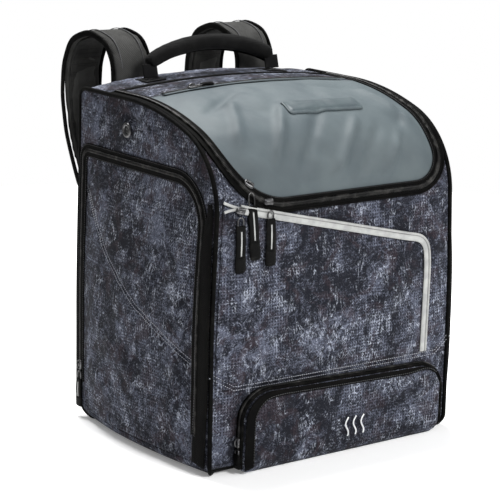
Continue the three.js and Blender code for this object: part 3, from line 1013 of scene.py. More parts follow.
SPACER = Finish("spacer_mesh", Slot.PADDED, tint(34, 34, 34), tint(45, 45, 44), 0.85, 900.0, 0.10 * MM,
                holes=330.0, wear=0.08, sheen=0.02, specular=0.05)
# The handle's spacer mesh, darkened: painted shade that offsets the top light falling on the grip.
SHADED_GRIP_MESH = replace(SPACER, name="grip_mesh_painted_shade", colour=tint(19, 19, 19), second=tint(28, 28, 28))
PAD_CLOTH = Finish("pad_twill", Slot.PADDED, tint(51, 51, 50), tint(62, 62, 61), 0.80, 700.0, 0.30 * MM,
                   0.8 * MM, 18.0, wear=0.10, specular=0.06)
LINING = Finish("lining_cloth", Slot.LINING, tint(38, 39, 42), tint(58, 59, 62), 0.70, 1200.0, 0.10 * MM,
                0.8 * MM, 16.0, wear=0.04)
METAL = Finish("gunmetal", Slot.METAL, tint(70, 70, 72), tint(104, 104, 104), 0.30, 2400.0, 0.01 * MM,
               patch_scale=240.0, wear=0.35, metallic=0.95, specular=0.5)
NYLON = Finish("moulded_nylon", Slot.PLASTIC, tint(13, 13, 14), tint(20, 20, 20), 0.42, 1900.0,
               0.04 * MM, patch_scale=400.0, wear=0.2)
RUBBER = Finish("ribbon_black", Slot.TRIM, tint(7, 7, 7), tint(11, 11, 11), 0.50, 1200.0, 0.12 * MM,
                wear=0.05, specular=0.05)
THREAD = Finish("grey_thread", Slot.TRIM, tint(140, 143, 152), tint(170, 172, 178), 0.7, 3000.0,
                0.05 * MM, wear=0.0)
DARK_THREAD = Finish("dark_thread", Slot.TRIM, tint(52, 52, 54), tint(70, 70, 72), 0.7, 3000.0,
                     0.05 * MM, wear=0.0)
PATCH = Finish("moulded_patch", Slot.SMOOTH, tint(62, 71, 75), tint(68, 78, 81), 0.45, 1600.0,
               0.06 * MM, patch_scale=50.0, wear=0.04)
PALE_INK = Finish("pale_ink", Slot.REFLECTIVE, tint(196, 198, 200), tint(222, 223, 224), 0.55, 900.0,
                  0.15 * MM, wear=0.0, patch_scale=90.0)


# ---- shared makers ----------------------------------------------------------------------
def front_line(points: Path2) -> Array:
    """A line of (x, height) on the front as (x, run)."""
    line = np.array(points)
    return np.column_stack([line[:, 0], SHELL.at_height(line[:, 1])])


def centre_of(node: str) -> Vector:
    """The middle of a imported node's box."""
    low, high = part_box(node)
    return (low + high) / 2


def box_stitch(name: str, surface: Surface, low: tuple[float, float], high: tuple[float, float],
               lift: float, body: str) -> None:
    """A stitched square with a cross in it.

    Args:
        surface, lift: what it lies on, and its height.
        low, high: corners.
        body: what it rides on.
    """
    (u0, v0), (u1, v1) = low, high
    square = np.array([(u0, v0), (u1, v0), (u1, v1), (u0, v1), (u0, v0)])
    cross = np.array([(u0, v0), (u1, v1)]), np.array([(u1, v0), (u0, v1)])
    for label, line in (("square", square), ("cross_a", cross[0]), ("cross_b", cross[1])):
        dress(stitches(f"{name}_{label}", surface, line, lift), body, DARK_THREAD)


def run_cloth(piece: bpy.types.Object, cloth: bpy.types.Modifier, cap: float) -> Array:
    """Steps a cloth for 20 frames and clears it: each point's step is shortened to cap at most.

    Args:
        piece, cloth: the object and its cloth.
        cap: longest step.
    Returns:
        The new points.
    """
    cloth.point_cache.frame_start, cloth.point_cache.frame_end = 1, CLOTH_FRAMES
    for step in range(1, CLOTH_FRAMES + 1):
        bpy.context.scene.frame_set(step)
    before = corners_of(piece.data)
    move = corners_of(piece.evaluated_get(bpy.context.evaluated_depsgraph_get()).data) - before
    size = np.linalg.norm(move, axis=1, keepdims=True) + 1e-9
    piece.modifiers.clear()
    bpy.context.scene.frame_set(1)
    return before + move * np.minimum(1.0, cap / size)


def puff(piece: bpy.types.Object, pressure: float, cap: float, voxel: float = 5 * MM) -> None:
    """Fills a pad with air as a cloth and keeps the result: no point moves further than cap.

    The mesh is remeshed in voxels and simulated for 20 frames without gravity. Each point then
    moves by its simulated step, shortened to cap, and the surface is subdivided once.

    Args:
        piece: the pad.
        pressure: the air.
        cap: longest step.
        voxel: grid of the remeshed skin.
    """
    grid = piece.modifiers.new("voxels", "REMESH")
    grid.mode = "VOXEL"
    grid.voxel_size = voxel
    graph = bpy.context.evaluated_depsgraph_get()
    start = bpy.data.meshes.new_from_object(piece.evaluated_get(graph))
    piece.modifiers.clear()
    piece.data = start
    cloth = piece.modifiers.new("air", "CLOTH")
    cloth.settings.use_pressure = True
    cloth.settings.uniform_pressure_force = pressure
    cloth.settings.effector_weights.gravity = 0.0
    cloth.settings.quality = 5
    cloth.settings.bending_stiffness = 1.0
    start.vertices.foreach_set("co", run_cloth(piece, cloth, cap).reshape(-1))
    start.polygons.foreach_set("use_smooth", np.ones(len(start.polygons), bool))
    start.update()
    subdivide(piece)


def slider(name: str, node: str, body: str, along: Sequence[float], up: Sequence[float],
           step: tuple[float, float, float] = (0.0, 0.0, 0.0)) -> None:
    """A zip slider: a tapered block with a raised bridge over it.

    The block is a soft rectangle carried along the zip, wide at its mouth and narrow at its tail.
    The bridge is a round wire along a half circle from tail to mouth.

    Args:
        node, body: what it stands for and rides on.
        along, up: its run and its outer side.
        step: shift from the node.
    """
    middle = np.array(centre_of(node)) + np.array(step)
    run, out = np.array(along) / np.linalg.norm(along), np.array(up) / np.linalg.norm(up)
    share = np.linspace(-1, 1, 15)
    path = middle + share[:, None] * 7 * MM * run
    size = (1.0 + 0.10 * share) * np.sqrt(np.clip(1.04 - share ** 8, 0.1, 1))
    block = sweep(name, path, np.tile(out, (15, 1)), strip(8.6 * MM, 3.4 * MM, 0.3 * MM), scale=size)
    dress(block, body, METAL, node)
    turn = np.linspace(0, np.pi, 17)
    bridge = middle + out * 1.4 * MM + (np.cos(turn)[:, None] * 4.6 * run
                                        + np.sin(turn)[:, None] * 2.6 * out) * MM
    side = np.cross(run, out)
    arch = sweep(f"{name}_bridge", bridge, np.tile(side, (17, 1)), strip(2.6 * MM, 1.2 * MM))
    dress(arch, body, METAL)


@dataclass
class Pull:
    """A zip pull: a wire bail on the slider and a flat ribbon hanging from it, ending in a moulded tip."""
    name: str
    node: str
    body: str
    pivot: tuple[float, float, float]
    down: tuple[float, float, float]
    out: tuple[float, float, float]
    length: float
    width: float = 13 * MM
    bail: float = 26 * MM
    stripe: bool = True

    def make(self) -> None:
        """Builds the bail as a closed loop of wire, and the ribbon as a flat profile along its run."""
        pivot, down = np.array(self.pivot), np.array(self.down) / np.linalg.norm(self.down)
        out = np.array(self.out) / np.linalg.norm(self.out)
        side = np.cross(down, out)
        turn = np.linspace(0, 2 * np.pi, 36, endpoint=False)
        half, long = self.width * 0.30, self.bail / 2
        loop = (pivot + down * long + np.sign(np.cos(turn))[:, None] * np.abs(np.cos(turn))[:, None] ** 0.6
                * long * down + np.sin(turn)[:, None] * half * side)
        wire = sweep(f"{self.name}_bail", loop, np.tile(out, (36, 1)), circle(0.95 * MM, 8), True)
        dress(wire, self.body, METAL, self.node)
        start = self.bail - 3 * MM
        share = np.linspace(0, 1, 26)
        sway = 0.7 * MM * np.sin(share * 5.0)
        path = pivot + down * (start + share * (self.length - start))[:, None] + out * sway[:, None]
        swell = 1.0 + 0.10 * smooth(share, 0.62, 0.72)
        swell[0] = swell[-1] = 0.82
        flat = strip(self.width, 2.9 * MM, 0.3 * MM)
        ribbon = sweep(self.name, path, np.tile(out, (26, 1)), flat, scale=swell)
        dress(ribbon, self.body, RUBBER)
        if self.stripe:
            part = slice(3, 17)
            line = sweep(f"{self.name}_stripe", path[part] + out * 1.55 * MM, np.tile(out, (14, 1)),
                         strip(2.2 * MM, 0.5 * MM))
            dress(line, self.body, GREY_TAPE)
        tip = slice(17, 25)
        cap = sweep(f"{self.name}_tip", path[tip] + out * 0.1 * MM, np.tile(out, (8, 1)),
                    strip(self.width * 1.02, 3.9 * MM, 0.3 * MM))
        dress(cap, self.body, RUBBER)


def zip_line(name: str, surface: Surface, line: Array, lift: float, body: str, tape_width: float,
             coil_finish: Finish, tape_finish: Finish, node: str) -> None:
    """A zip: a tape on each side of its coil, with a row of stitches along each tape.

    Args:
        surface, line, lift: as on_surface has them.
        body: what it rides on.
        tape_width: both tapes.
        coil_finish, tape_finish: looks.
        node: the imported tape.
    """
    half = tape_width / 2
    for label, sign in (("outer", 1), ("inner", -1)):
        middle = offset(line, sign * (half / 2 + 0.6 * MM), False)
        band = tape(f"{name}_{label}", surface, middle, half - 0.6 * MM, lift, 1.2 * MM)
        dress(band, body, tape_finish, *([node] if label == "inner" else []))
        row = stitches(f"{name}_{label}_seam", surface, offset(line, sign * (half - 1.2 * MM), False),
                       lift + 0.7 * MM, 3.0 * MM, 2.2 * MM, 0.35 * MM)
        dress(row, body, DARK_THREAD)
    dress(coil(f"{name}_coil", surface, line, lift + 0.7 * MM), body, coil_finish)


# ---- the bag's fixed fabric --------------------------------------------------------------
@dataclass
class Wrap:
    """Front, top strip, back and base cloth, side frames, piping, dividers and patches."""
    wall: float = 2.2 * MM
    piping: float = 3.0 * MM
    front_seam: tuple = ((-0.190, 0.134), (-0.160, 0.1135), (0.168, 0.1105), (0.190, 0.130))

    def make(self) -> None:
        """Builds every fixed panel and its trim."""
        self.front()
        self.top_back_base()
        for side in Side:
            self.side(side)
        self.patches()

    def front(self) -> None:
        """The front with its rounded shoulder, trimmed round the lid, creased beside the pocket."""
        low, high = SHELL.at_height(0.009), SHELL.at_depth(HINGE_Y)
        outer = np.array([(-HALF_WIDTH, low), (HALF_WIDTH, low), (HALF_WIDTH, high), (-HALF_WIDTH, high)])
        seam = front_line(self.front_seam)
        relief = Relief(puff=0.002, ripples=0.0013, size=0.06, seed=11, spread=0.03,
                        grooves=(tuple(map(tuple, seam)),),
                        folds=(((-0.17, -0.02), (0.02, -0.09), 0.013, 0.0030),
                               ((0.165, 0.0), (0.165, -0.16), 0.010, 0.0022),
                               ((-0.185, -0.10), (-0.150, -0.20), 0.010, 0.0022)))
        hole = offset(lid_outline(), 0.8 * MM)
        outer = resample(np.vstack([outer, outer[:1]]), 900, False)[:-1]
        panel = cut_panel("front_cloth", SHELL, outer, relief, self.wall, 3 * MM, hole)
        dress(panel, "bag", PRINT, "front_panel", lining=LINING)
        double_stitch("front_seam", SHELL, seam, 2.6 * MM, 5 * MM, THREAD, "bag")
        band = offset(lid_outline(), 4.3 * MM)[lid_open()]
        dress(tape("lid_frame_tape", SHELL, band, 8.0 * MM, 1.4 * MM), "bag", TRIM, "body_zip_tape")
        lip = offset(lid_outline(), 8.6 * MM)
        path, up = on_surface(SHELL, lip[lid_open()], 1.7 * MM)
        dress(sweep("lid_frame_piping", path, up, circle(1.5 * MM)), "bag", TRIM)

    def top_back_base(self) -> None:
        """The printed strip behind the lid, the plain back and the base, each a grid across the width."""
        def sheet(name: str, first: float, last: float, relief: Relief, finish: Finish, *nodes: str) -> None:
            """One of them, from the first run to the last."""
            half = HALF_WIDTH
            outer = np.array([(-half, first), (half, first), (half, last), (-half, last)])
            outer = resample(np.vstack([outer, outer[:1]]), 900, False)[:-1]
            panel = cut_panel(name, SHELL, outer, relief, self.wall, 4 * MM)
            dress(panel, "bag", finish, *nodes, lining=LINING)
        yoke, low = SHELL.at_depth(HINGE_Y), SHELL.behind(0.380)
        crown = Relief(puff=0.0012, ripples=0.0008, seed=21, size=0.05)
        sheet("top_strip", yoke, low, crown, PRINT, "top_yoke")
        floor = SHELL.behind(0.040)
        sheet("back_cloth", low, floor, Relief(puff=-0.001, ripples=0.0005, seed=22), TRIM, "back_panel")
        under = float(SHELL.at_height(0.009)) + SHELL.length
        sheet("base_cloth", floor, under, Relief(puff=0.0, ripples=0.0), TRIM, "base_panel")
        for label, run in (("hinge", yoke), ("yoke", low)):
            line = np.column_stack([np.linspace(-HALF_WIDTH, HALF_WIDTH, 120), np.full(120, run)])
            dress(tape(f"{label}_tape", SHELL, line, 8 * MM, 0.9 * MM, 1.3 * MM), "bag", TRIM)

    def side(self, side: Side) -> None:
        """A side frame round its door, the piping along its edges, an eyelet and a boot divider.

        Args:
            side: left or right.
        """
        plane = SideSurface(side.sign)
        outer = resample(SHELL.line, 1600, True)
        crease = Relief(puff=0.0016, ripples=0.0009, seed=31, size=0.05, spread=0.02,
                        folds=(((0.075, 0.438), (0.02, 0.428), 0.006, -0.0030),
                               ((0.03, 0.452), (-0.02, 0.415), 0.008, 0.0028)))
        panel = cut_panel(f"side_frame_{side}", plane, outer, crease, self.wall, 3 * MM, door_outline())
        dress(panel, "bag", PRINT, f"side_panel_{side}", lining=LINING)
        x = plane.sign * (HALF_WIDTH - 1.0 * MM)
        edge, up = on_surface(SHELL, np.column_stack([np.full(900, x), np.linspace(0, SHELL.length, 900,
                                                                                  endpoint=False)]), 0.8 * MM)
        edge[:, 2] = np.maximum(edge[:, 2], self.piping)
        cord = sweep(f"side_piping_{side}", edge, up, circle(self.piping), True)
        dress(cord, "bag", TRIM, f"edge_piping_{side}")
        self.eyelet(side, plane)
        self.divider(side)

    def eyelet(self, side: Side, plane: SideSurface) -> None:
        """A turned metal ring with a rolled rim, and a near-black disc in its hole: painted shade for the
        bag's inside.

        Args:
            side, plane: the side and its surface.
        """
        node = f"eyelet_{side}"
        middle = centre_of(node)
        reach = float(half_width(np.array(middle.y), np.array(middle.z))) + 2.6 * MM
        place = Matrix.Translation((plane.sign * reach, middle.y, middle.z))
        place = place @ Matrix.Rotation(plane.sign * math.pi / 2, 4, "Y")
        turn = np.linspace(0, 2 * np.pi, 24, endpoint=False)
        rim = [(7.6 * MM + 2.3 * MM * math.cos(t), 1.2 * MM + 1.4 * MM * math.sin(t)) for t in turn]
        dress(lathe(f"eyelet_ring_{side}", rim, place), "bag", METAL, node)
        # A near-black disc across the ring's hole: painted shade for the dark inside of the bag.
        hole_shade = [(0.05 * MM, 0.5 * MM), (5.4 * MM, 0.5 * MM), (5.4 * MM, 1.1 * MM), (0.05 * MM, 1.1 * MM)]
        dress(lathe(f"eyelet_barrel_{side}", hole_shade, place), "bag", NYLON)

    def divider(self, side: Side) -> None:
        """The boot bay's wall and roof: one lining sheet bent round a corner, carried front to back.

        Args:
            side: left or right.
        """
        node = f"boot_divider_{side}"
        low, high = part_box(node)
        sign = side.sign
        near, far = 0.063, HALF_WIDTH - 6 * MM
        top, bend = high.z - 2 * MM, 0.022
        corner = arc((near + bend, top - bend), bend, 180, 90, 12)
        height = np.linspace(low.z + 1 * MM, top - bend, 24, endpoint=False)
        drop = np.column_stack([np.full(24, near), height])
        roof = np.column_stack([np.linspace(near + bend, far, 24)[1:], np.full(23, top)])
        profile = np.vstack([drop, corner, roof])
        depth = np.linspace(low.y + 8 * MM, high.y - 6 * MM, 60)
        u, v = np.meshgrid(np.arange(len(profile)), depth, indexing="ij")
        wave = 1.2 * MM * ripple(profile[u, 1] + profile[u, 0], v, 41, 0.08)
        x, z = profile[u, 0] + wave, profile[u, 1] - 0.4 * wave
        front = SHELL.line[:, 0].min() + 8 * MM
        lean = np.maximum(front + SHOULDER_RADIUS * (1 - np.sqrt(np.clip(
            1 - (np.clip(z - SHELL.shoulder[1], 0, 0.1) / SHOULDER_RADIUS) ** 2, 0, 1))), v)
        heel = high.y - 6 * MM - 20 * MM * (1 - smooth(z, low.z, low.z + 0.030))
        points = np.stack([sign * x, np.minimum(lean, heel), z], -1)
        faces = quads(len(profile), 60, False, False)
        piece = build(f"bay_sheet_{side}", points, faces.tolist())
        thicken(piece, 2 * MM)
        run = np.linalg.norm(np.diff(profile, axis=0), axis=1).sum()
        dress(piece, "bag", LINING, node)

    def patches(self) -> None:
        """Handle and strap reinforcement patches with box stitches."""
        for side in Side:
            low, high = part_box(f"handle_patch_{side}")
            first, last = SHELL.at_depth(low.y), SHELL.at_depth(high.y)
            outer = rounded(low.x, high.x, first, last, 3 * MM)
            flat = Relief(level=1.6 * MM, puff=0.0, ripples=0.0)
            patch = cut_panel(f"handle_base_{side}", SHELL, outer, flat, 1.4 * MM, 2 * MM)
            dress(patch, "bag", TRIM, f"handle_patch_{side}")
            box_stitch(f"handle_base_{side}_stitch", SHELL, (low.x + 4 * MM, first + 4 * MM),
                       (high.x - 4 * MM, last - 4 * MM), 1.9 * MM, "bag")
            low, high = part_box(f"strap_patch_{side}")
            first, last = SHELL.behind(high.z), SHELL.behind(low.z)
            outer = rounded(low.x, high.x, first, last, 3 * MM)
            patch = cut_panel(f"strap_base_{side}", SHELL, outer, flat, 1.4 * MM, 3 * MM)
            dress(patch, "bag", WEBBING, f"strap_patch_{side}")
            box_stitch(f"strap_base_{side}_stitch", SHELL, (low.x + 6 * MM, first + 6 * MM),
                       (high.x - 6 * MM, last - 6 * MM), 1.9 * MM, "bag")


def lid_outline() -> Array:
    """The lid's edge as (x, run), anticlockwise from the hinge's left end, open along the hinge side.

    Returns:
        The outline.
    """
    left, right = LID_CORNERS
    low_left = arc((-LID_HALF + left, LID_FRONT_Z + left), left, 180, 270, 60)
    low_right = arc((LID_HALF - right, LID_FRONT_Z + right), right, 270, 360, 40)
    front = front_line(np.vstack([[(-LID_HALF, LID_FRONT_Z + left)], low_left, low_right]))
    hinge = SHELL.at_depth(HINGE_Y)
    line = np.vstack([[(-LID_HALF, hinge)], front, [(LID_HALF, hinge)]])
    return resample(line, 900, True)


def lid_open() -> Array:
    """The indices of the lid's edge without its hinge side."""
    return np.flatnonzero(lid_outline()[:, 1] < SHELL.at_depth(HINGE_Y) - 2 * MM)


def door_outline() -> Array:
    """A side door's edge as (depth, height), anticlockwise."""
    return resample(rounded(DOOR_LOW.y, DOOR_HIGH.y, DOOR_LOW.z, DOOR_HIGH.z, DOOR_RADII), 900, True)


# ---- the lid -----------------------------------------------------------------------------
@dataclass
class Lid:
    """The lid: slate front, printed rear band, zip all round, raised patch and goggle pocket."""
    wall: float = 2.4 * MM
    inset: float = 1.4 * MM

    def make(self) -> None:
        """Builds the two cloth panels and their trim."""
        line = offset(lid_outline(), -self.inset)
        seam = SHELL.at_depth(LID_SEAM_Y)
        hinge = SHELL.at_depth(HINGE_Y) - 1 * MM
        half = LID_HALF - self.inset
        front = line[line[:, 1] < seam]
        front = np.vstack([front, [(half, seam)], [(-half, seam)]])
        folds = (((-0.095, 0.055), (-0.030, 0.150), 0.0070, 0.0068),
                 ((-0.062, 0.040), (0.018, 0.130), 0.0085, -0.0052),
                 ((-0.012, 0.026), (0.068, 0.112), 0.0070, 0.0064),
                 ((0.026, 0.022), (0.100, 0.100), 0.0085, -0.0048),
                 ((0.072, 0.020), (0.135, 0.098), 0.0070, 0.0060),
                 ((-0.140, 0.080), (-0.092, 0.180), 0.0085, 0.0058),
                 ((-0.150, 0.150), (-0.060, 0.205), 0.0080, -0.0044),
                 ((0.158, 0.090), (0.112, 0.195), 0.0090, 0.0050),
                 ((0.110, 0.060), (0.160, 0.140), 0.0075, -0.0042),
                 ((0.030, 0.205), (0.150, 0.180), 0.0080, -0.0036))
        label_low, label_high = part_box("lid_label")
        relief = Relief(puff=0.0050, ripples=0.0018, size=0.065, seed=51, spread=0.040, folds=folds)
        panel = cut_panel("lid_slate", SHELL, resample(front, 900, True), relief, self.wall, 3 * MM)
        dress(panel, "lid", SLATE, "lid_front_panel", lining=LINING)
        rear = np.array([(-half, seam + 0.4 * MM), (half, seam + 0.4 * MM), (half, hinge), (-half, hinge)])
        rear = resample(np.vstack([rear, rear[:1]]), 700, False)[:-1]
        flatter = Relief(puff=0.002, ripples=0.001, seed=52, spread=0.02)
        band = cut_panel("lid_print_band", SHELL, rear, flatter, self.wall, 3 * MM)
        dress(band, "lid", PRINT, "lid_rear_band", lining=LINING)
        across = np.column_stack([np.linspace(-half, half, 160), np.full(160, seam)])
        double_stitch("lid_seam", SHELL, across, 1.0 * MM, 4 * MM, DARK_THREAD, "lid")
        kept = lid_open()
        inner = offset(lid_outline(), -5.2 * MM)[kept]
        dress(tape("lid_zip_tape", SHELL, inner, 7.6 * MM, 1.6 * MM), "lid", TRIM, "lid_zip")
        row = offset(lid_outline(), -7.8 * MM)[kept]
        dress(stitches("lid_zip_seam", SHELL, row, 2.4 * MM, 3 * MM, 2.2 * MM, 0.35 * MM), "lid", DARK_THREAD)
        dress(coil("lid_zip_coil", SHELL, lid_outline()[kept], 2.4 * MM, 2.7 * MM), "lid", COIL)
        self.label(label_low, label_high, relief)
        self.goggle()
        slider("lid_slider_a", "lid_slider_left", "lid", (0.75, -0.35, -0.56), (-0.1, -0.8, 0.6))
        slider("lid_slider_b", "lid_slider_right", "lid_runner", (1.0, 0, -0.02), (0, -0.985, 0.17))

    def label(self, low: Vector, high: Vector, relief: Relief) -> None:
        """A plain raised patch whose rim is rolled down, with a sunk border line.

        Args:
            low, high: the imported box.
            relief: the panel it lies on.
        """
        first, last = SHELL.at_depth(low.y), SHELL.at_depth(high.y)
        outer = rounded(low.x, high.x, first, last, 5 * MM)
        border = offset(outer, -4 * MM)
        raised = Relief(level=2.2 * MM, puff=0.0014, spread=0.01, ripples=0.0001, roll=1.6 * MM,
                        grooves=(tuple(map(tuple, np.vstack([border, border[:1]]))),),
                        groove_depth=0.8 * MM, groove_width=0.9 * MM)
        patch = cut_panel("lid_patch", SHELL, outer, Stacked(relief, raised), 2.2 * MM, 1.5 * MM)
        dress(patch, "lid", PATCH, "lid_label")

    def goggle(self) -> None:
        """The pocket zip across the top."""
        low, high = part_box("goggle_zip")
        run = SHELL.at_depth((low.y + high.y) / 2)
        line = np.column_stack([np.linspace(low.x, high.x, 120), np.full(120, run)])
        zip_line("goggle_zip_line", SHELL, line, 3.0 * MM, "lid", 10 * MM, COIL, SLATE, "goggle_zip")
        slider("goggle_slider_body", "goggle_slider", "goggle_runner", (1, 0, 0.07), (-0.07, 0, 1))
        pull = centre_of("goggle_pull")
        low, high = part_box("goggle_pull")
        Pull("goggle_pull_tab", "goggle_pull", "pull_goggle", (low.x, pull.y, pull.z + 1 * MM), (1, 0, 0.06),
             (-0.06, 0, 1), high.x - low.x, 7 * MM, 10 * MM, False).make()


# ---- side doors --------------------------------------------------------------------------
@dataclass
class SideDoors:
    """The two printed side doors with their slanted seam and surrounding zips."""
    seam: tuple = ((0.150, 0.327), (0.138, 0.319), (0.082, 0.254), (0.038, 0.220), (-0.010, 0.192),
                   (-0.056, 0.174), (-0.133, 0.139))
    overlap: float = 7 * MM
    step: float = 4 * MM

    def make(self) -> None:
        """Builds both doors."""
        for side in Side:
            self.door(side)

    def door(self, side: Side) -> None:
        """A door panel, its seam, zip tapes, coil, front flap, slider and pull.

        Args:
            side: left or right.
        """
        body, plane = f"door_{side}", SideSurface(side.sign)
        outline = door_outline()
        folds = (((-0.03, 0.34), (0.09, 0.28), 0.013, 0.0030), ((0.10, 0.14), (-0.02, 0.10), 0.016, 0.0034),
                 ((-0.10, 0.29), (-0.04, 0.22), 0.012, -0.0026), ((0.12, 0.09), (0.03, 0.04), 0.013, 0.0030))
        relief = Relief(puff=0.0040, ripples=0.0016, size=0.075, seed=61, spread=0.05, grooves=(self.seam,),
                        groove_depth=2.2 * MM, groove_width=5.5 * MM, folds=folds)
        panel = cut_panel(f"door_cloth_{side}", plane, offset(outline, -1.0 * MM), relief, 2.4 * MM, 3 * MM)
        dress(panel, body, PRINT, f"side_door_{side}", lining=LINING)
        self.raised_seam(side, plane, relief)
        kept = outline[:, 1] > 0.050
        first = int(np.flatnonzero(~kept)[-1]) + 1
        line = np.roll(outline, -first, axis=0)
        line = line[line[:, 1] > 0.050]
        for label, shift, rides in (("inner", -5.2 * MM, body), ("outer", 5.2 * MM, "bag")):
            band = tape(f"door_tape_{label}_{side}", plane, offset(line, shift, False), 8.4 * MM, 1.2 * MM)
            dress(band, rides, TRIM, *([f"door_zip_{side}"] if label == "inner" else []))
            row = stitches(f"door_tape_{label}_seam_{side}", plane, offset(line, shift * 1.55, False),
                           2.0 * MM, 3 * MM, 2.2 * MM, 0.35 * MM)
            dress(row, rides, DARK_THREAD)
        dress(coil(f"door_coil_{side}", plane, line, 1.8 * MM, 1.9 * MM), body, COIL)
        height = np.linspace(0.014, 0.350, 80)
        corner = SHELL.place(np.zeros(80), SHELL.at_height(height))[:, 1] + 3 * MM
        full = DOOR_LOW.y + self.overlap - corner[0]
        narrow = 1 - 0.62 * smooth(height, 0.28, 0.350)
        path, up = on_surface(plane, np.column_stack([corner + narrow * full / 2, height]), 2.3 * MM)
        flat = strip(full, 1.5 * MM, 0.8 * MM)
        dress(sweep(f"door_flap_{side}", path, up, flat, scale=narrow), "bag", TRIM)
        for label, inset in (("rear", full - 2 * MM), ("front", full * 0.45)):
            edge = np.column_stack([corner + inset, height])[:58]
            dress(stitches(f"door_flap_{label}_seam_{side}", plane, edge, 3.5 * MM), "bag", DARK_THREAD)
        slider(f"door_slider_body_{side}", f"door_slider_{side}", f"door_runner_{side}", (0, 0, 1),
               (plane.sign, 0, 0), (plane.sign * self.step, 0, 0))
        low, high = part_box(f"door_pull_{side}")
        pivot = ((low.x + high.x) / 2 + plane.sign * self.step, (low.y + high.y) / 2, high.z - 1 * MM)
        Pull(f"door_tab_{side}", f"door_pull_{side}", f"pull_door_{side}", pivot, (0, 0.04, -1),
             (plane.sign, 0, 0), high.z - low.z - 1 * MM, 12.5 * MM, 14 * MM).make()

    def raised_seam(self, side: Side, plane: SideSurface, relief: Relief) -> None:
        """Two stitch rows that follow the door's puffed height on each side of the seam.

        Args:
            side, plane: the side and its surface.
            relief: the door's height.
        """
        line = resample(np.array(self.seam), 160, False)
        for label, shift in (("a", -2.8 * MM), ("b", 2.8 * MM)):
            row = offset(line, shift, False)
            inner = nearest(row[:, :1], row[:, 1:], door_outline())[0][:, 0]
            height = relief(row[:, :1], row[:, 1:], inner[:, None])[:, 0]
            follow = FollowSurface(plane, row, height)
            dress(stitches(f"door_seam_{label}_{side}", follow, row, 0.5 * MM), f"door_{side}", THREAD)


@dataclass
class Stacked:
    """A patch's height over the panel that it lies on: the sum of both reliefs."""
    base: Relief
    top: Relief

    def __call__(self, u: Array, v: Array, d: Array) -> Array:
        """The height at each point, with the panel's own edge far away."""
        return self.base(u, v, np.full(np.shape(u), 0.05)) + self.top(u, v, d)


class FollowSurface:
    """A side plane whose height is read from the closest point of a measured line."""

    def __init__(self, plane: SideSurface, line: Array, height: Array) -> None:
        """Keeps the plane and the line's heights."""
        self.plane, self.line, self.height = plane, line, height

    def place(self, y: Array, z: Array, lift: Array | float = 0.0) -> Array:
        """Points at y and z at the height of the closest point of the line.

        Args:
            y, z: where.
            lift: extra height.
        Returns:
            Points.
        """
        y, z = np.asarray(y, float), np.asarray(z, float)
        gap = np.hypot(y[:, None] - self.line[:, 0], z[:, None] - self.line[:, 1])
        return self.plane.place(y, z, self.height[gap.argmin(axis=1)] + lift)


